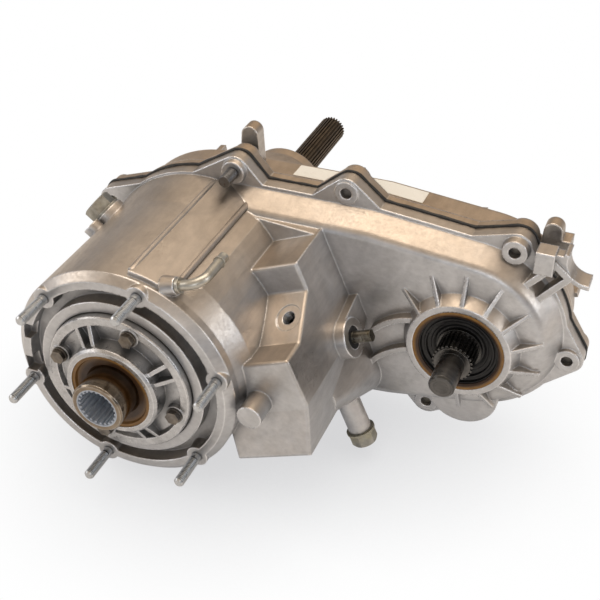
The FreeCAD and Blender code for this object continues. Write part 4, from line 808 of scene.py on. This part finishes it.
def sealant_bead():
    """Sealant squeezed out of the joint all round, uneven as it cured."""
    part = nodes["case_sealant"]
    low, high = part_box("case_sealant")
    middle = (low.y + high.y) / 2
    bm = bmesh.new()
    bm.from_mesh(part.data)
    bmesh.ops.remove_doubles(bm, verts=bm.verts, dist=SAME_SPOT)
    rim = [v for v in bm.verts if abs(v.co.y - low.y) < SAME_PLANE]
    in_rim = {v.index for v in rim}
    steps = {}
    for edge in bm.edges:
        a, b = edge.verts
        if a.index in in_rim and b.index in in_rim:
            flat = [f for f in edge.link_faces if abs(f.normal.y) > 0.9]
            if len(edge.link_faces) == 2 and len(flat) == 1:
                steps.setdefault(a.index, []).append(b.index)
                steps.setdefault(b.index, []).append(a.index)
    place = {v.index: v.co.copy() for v in rim}
    bm.free()
    loops = []
    unseen = set(steps)
    while unseen:
        start = unseen.pop()
        loop = [start]
        here = start
        while True:
            onward = [n for n in steps[here] if n in unseen]
            if not onward:
                break
            here = onward[0]
            unseen.discard(here)
            loop.append(here)
        loops.append([place[i] for i in loop])
    outline = max(loops, key=lambda pts: max(p.x for p in pts) - min(p.x for p in pts))
    curve = bpy.data.curves.new("sealant_path", "CURVE")
    curve.dimensions = "3D"
    spline = curve.splines.new("POLY")
    points = []
    count = len(outline)
    for i in range(count):
        a = outline[i]
        b = outline[(i + 1) % count]
        pieces = max(1, int((b - a).length / BEAD_SPACING))
        for k in range(pieces):
            points.append(a.lerp(b, k / pieces))
    spline.points.add(len(points) - 1)
    centre = Vector((CASE_MIDDLE_X, middle, 0.0))
    for i, (holder, p) in enumerate(zip(spline.points, points)):
        quick = 0.28 * math.sin(i * 0.71) * math.sin(i * 0.213 + 1.3)
        wobble = 0.5 + quick + 0.22 * math.sin(i * 0.057 + 0.4)
        away = (p - points[(i + 1) % len(points)]).cross(Vector((0.0, 1.0, 0.0)))
        if away.length > 0:
            away.normalize()
            if away.dot(p - centre) < 0:
                away.negate()
        shift = BEAD_DRIFT * wobble * math.sin(i * 0.131 + 2.0)
        spot = Vector((p.x, middle + shift, p.z)) - away * BEAD_TUCKED
        holder.radius = 0.75 + 0.65 * wobble
        reach = holder.radius * BEAD_R
        for axis in (0, 2):
            spot[axis] = min(max(spot[axis], cad_box[0][axis] + reach), cad_box[1][axis] - reach)
        holder.co = (*spot, 1.0)
    spline.use_cyclic_u = True
    curve.bevel_depth = BEAD_R
    curve.bevel_resolution = 2
    bead = bpy.data.objects.new("sealant_bead", curve)
    bpy.context.scene.collection.objects.link(bead)
    curve.materials.append(finishes["sealant"])
    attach(bead, "case_body")


flange_studs()
joint_bolt_thread()
switch_hole_thread()
output_seal_lip()
barrel_ridges()
sealant_bead()


# ---------------------------------------------------------------- setting

MIRRORED_WHITE = 0.2
MIRRORED_SKY = 0.06
FLOOR_SIZE = 14.0
FLOOR_GAP = 0.4 * MM
SHADOW_REACH = 160.0 * MM
SHADOW_STOPS = ((0.2, (0.66, 0.66, 0.67)), (0.9, (1.0, 1.0, 1.0)))
SKY_STOPS = (
    (0.0, (0.30, 0.31, 0.34)), (0.49, (0.20, 0.215, 0.24)), (0.53, (0.50, 0.54, 0.62)),
    (0.62, (0.30, 0.31, 0.335)), (0.76, (0.78, 0.66, 0.53)), (0.88, (0.70, 0.58, 0.46)),
    (1.0, (0.66, 0.55, 0.45)),
)
SKY_STRENGTH = 0.8


def stage_floor():
    """A pale floor, white to the camera, with the part's shadow painted into it from ambient occlusion."""
    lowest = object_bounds()[0][2]
    bpy.ops.mesh.primitive_plane_add(size=FLOOR_SIZE, location=(0.1, 0.2, lowest - FLOOR_GAP))
    floor = bpy.context.object
    floor.name = "studio_floor"
    material = bpy.data.materials.new("studio_floor")
    material.use_nodes = True
    g = Graph(material.node_tree)
    surface = g.add("ShaderNodeOutputMaterial")
    matt = g.add("ShaderNodeBsdfDiffuse")
    matt.inputs["Color"].default_value = (0.86, 0.85, 0.84, 1.0)
    white = g.add("ShaderNodeEmission")
    white.inputs["Strength"].default_value = 1.0
    seen = g.add("ShaderNodeLightPath")
    # Painted shadow: ambient occlusion darkens the floor's white emission near the part.
    near = g.add("ShaderNodeAmbientOcclusion", samples=16)
    near.inputs["Distance"].default_value = SHADOW_REACH
    g.link(g.ramp(near.outputs["AO"], SHADOW_STOPS), white.inputs["Color"])
    mix = g.add("ShaderNodeMixShader")
    mirrored = g.times(seen.outputs["Is Glossy Ray"], MIRRORED_WHITE)
    shown = g.plus(seen.outputs["Is Camera Ray"], mirrored)
    g.link(g.plus(shown, seen.outputs["Is Transmission Ray"], True), mix.inputs[0])
    g.link(matt.outputs[0], mix.inputs[1])
    g.link(white.outputs[0], mix.inputs[2])
    g.link(mix.outputs[0], surface.inputs["Surface"])
    floor.data.materials.append(material)


def studio_world():
    """A white room: cool and bright near the horizon, warmer overhead."""
    world = bpy.data.worlds.new("studio")
    bpy.context.scene.world = world
    world.use_nodes = True
    g = Graph(world.node_tree)
    place = g.add("ShaderNodeTexCoord").outputs["Generated"]
    parts = g.add("ShaderNodeSeparateXYZ")
    g.link(place, parts.inputs[0])
    sky = g.ramp(g.level(parts.outputs["Z"], -1.0, 1.0), SKY_STOPS)
    lit = g.add("ShaderNodeBackground")
    g.link(sky, lit.inputs["Color"])
    lit.inputs["Strength"].default_value = SKY_STRENGTH
    white = g.add("ShaderNodeBackground")
    white.inputs["Color"].default_value = (1.0, 1.0, 1.0, 1.0)
    seen = g.add("ShaderNodeLightPath")
    mix = g.add("ShaderNodeMixShader")
    surface = g.add("ShaderNodeOutputWorld")
    mirrored = g.times(seen.outputs["Is Glossy Ray"], MIRRORED_SKY)
    shown = g.plus(seen.outputs["Is Camera Ray"], mirrored)
    g.link(g.plus(shown, seen.outputs["Is Transmission Ray"], True), mix.inputs[0])
    g.link(lit.outputs[0], mix.inputs[1])
    g.link(white.outputs[0], mix.inputs[2])
    g.link(mix.outputs[0], surface.inputs["Surface"])


# Each lamp: its place and size in metres, its power in watts and its colour
LAMPS = {
    "overhead_soft": ((0.0, 0.35, 1.5), (1.3, 1.0), 11.0, (1.0, 0.88, 0.74)),
    "front_soft": ((0.5, -1.5, 0.55), (0.9, 0.6), 3.0, (0.92, 0.96, 1.0)),
    "left_soft": ((-1.4, -0.5, 0.7), (0.6, 0.9), 4.0, (1.0, 0.97, 0.94)),
    "right_soft": ((1.7, 0.1, 0.6), (0.6, 0.8), 4.0, (0.96, 0.98, 1.0)),
}
LAMP_AIM = Vector((0.11, 0.12, 0.0))


def studio_lamps():
    """Four large soft lamps turned towards the part."""
    for name, (place, size, power, colour) in LAMPS.items():
        lamp = bpy.data.lights.new(name, "AREA")
        lamp.shape = "RECTANGLE"
        lamp.size, lamp.size_y = size
        lamp.energy = power
        lamp.color = colour
        holder = bpy.data.objects.new(name, lamp)
        bpy.context.scene.collection.objects.link(holder)
        holder.location = place
        holder.rotation_euler = (LAMP_AIM - Vector(place)).to_track_quat("-Z", "Y").to_euler()


CAMERA_AZIMUTH = math.radians(22.33)
CAMERA_RISE = math.radians(35.86)
CAMERA_PLACE = Vector((0.36261, -0.53299, 0.52852))
SENSOR_WIDTH = 36.0
LENS = 66.118
NEAREST = 10.0 * MM


def studio_camera():
    """The camera that looks down on the part from the front right."""
    right = Vector((math.cos(CAMERA_AZIMUTH), math.sin(CAMERA_AZIMUTH), 0.0))
    view = Vector((-math.sin(CAMERA_AZIMUTH) * math.cos(CAMERA_RISE),
                   math.cos(CAMERA_AZIMUTH) * math.cos(CAMERA_RISE), -math.sin(CAMERA_RISE)))
    up = right.cross(view)
    camera = bpy.data.cameras.new("camera")
    camera.sensor_width = SENSOR_WIDTH
    camera.lens = LENS
    camera.clip_start = NEAREST
    holder = bpy.data.objects.new("camera", camera)
    bpy.context.scene.collection.objects.link(holder)
    turn = Matrix((right, up, -view)).transposed().to_4x4()
    holder.matrix_world = Matrix.Translation(CAMERA_PLACE) @ turn
    bpy.context.scene.camera = holder


stage_floor()
studio_world()
studio_lamps()
studio_camera()
bpy.context.scene.view_settings.view_transform = "Standard"
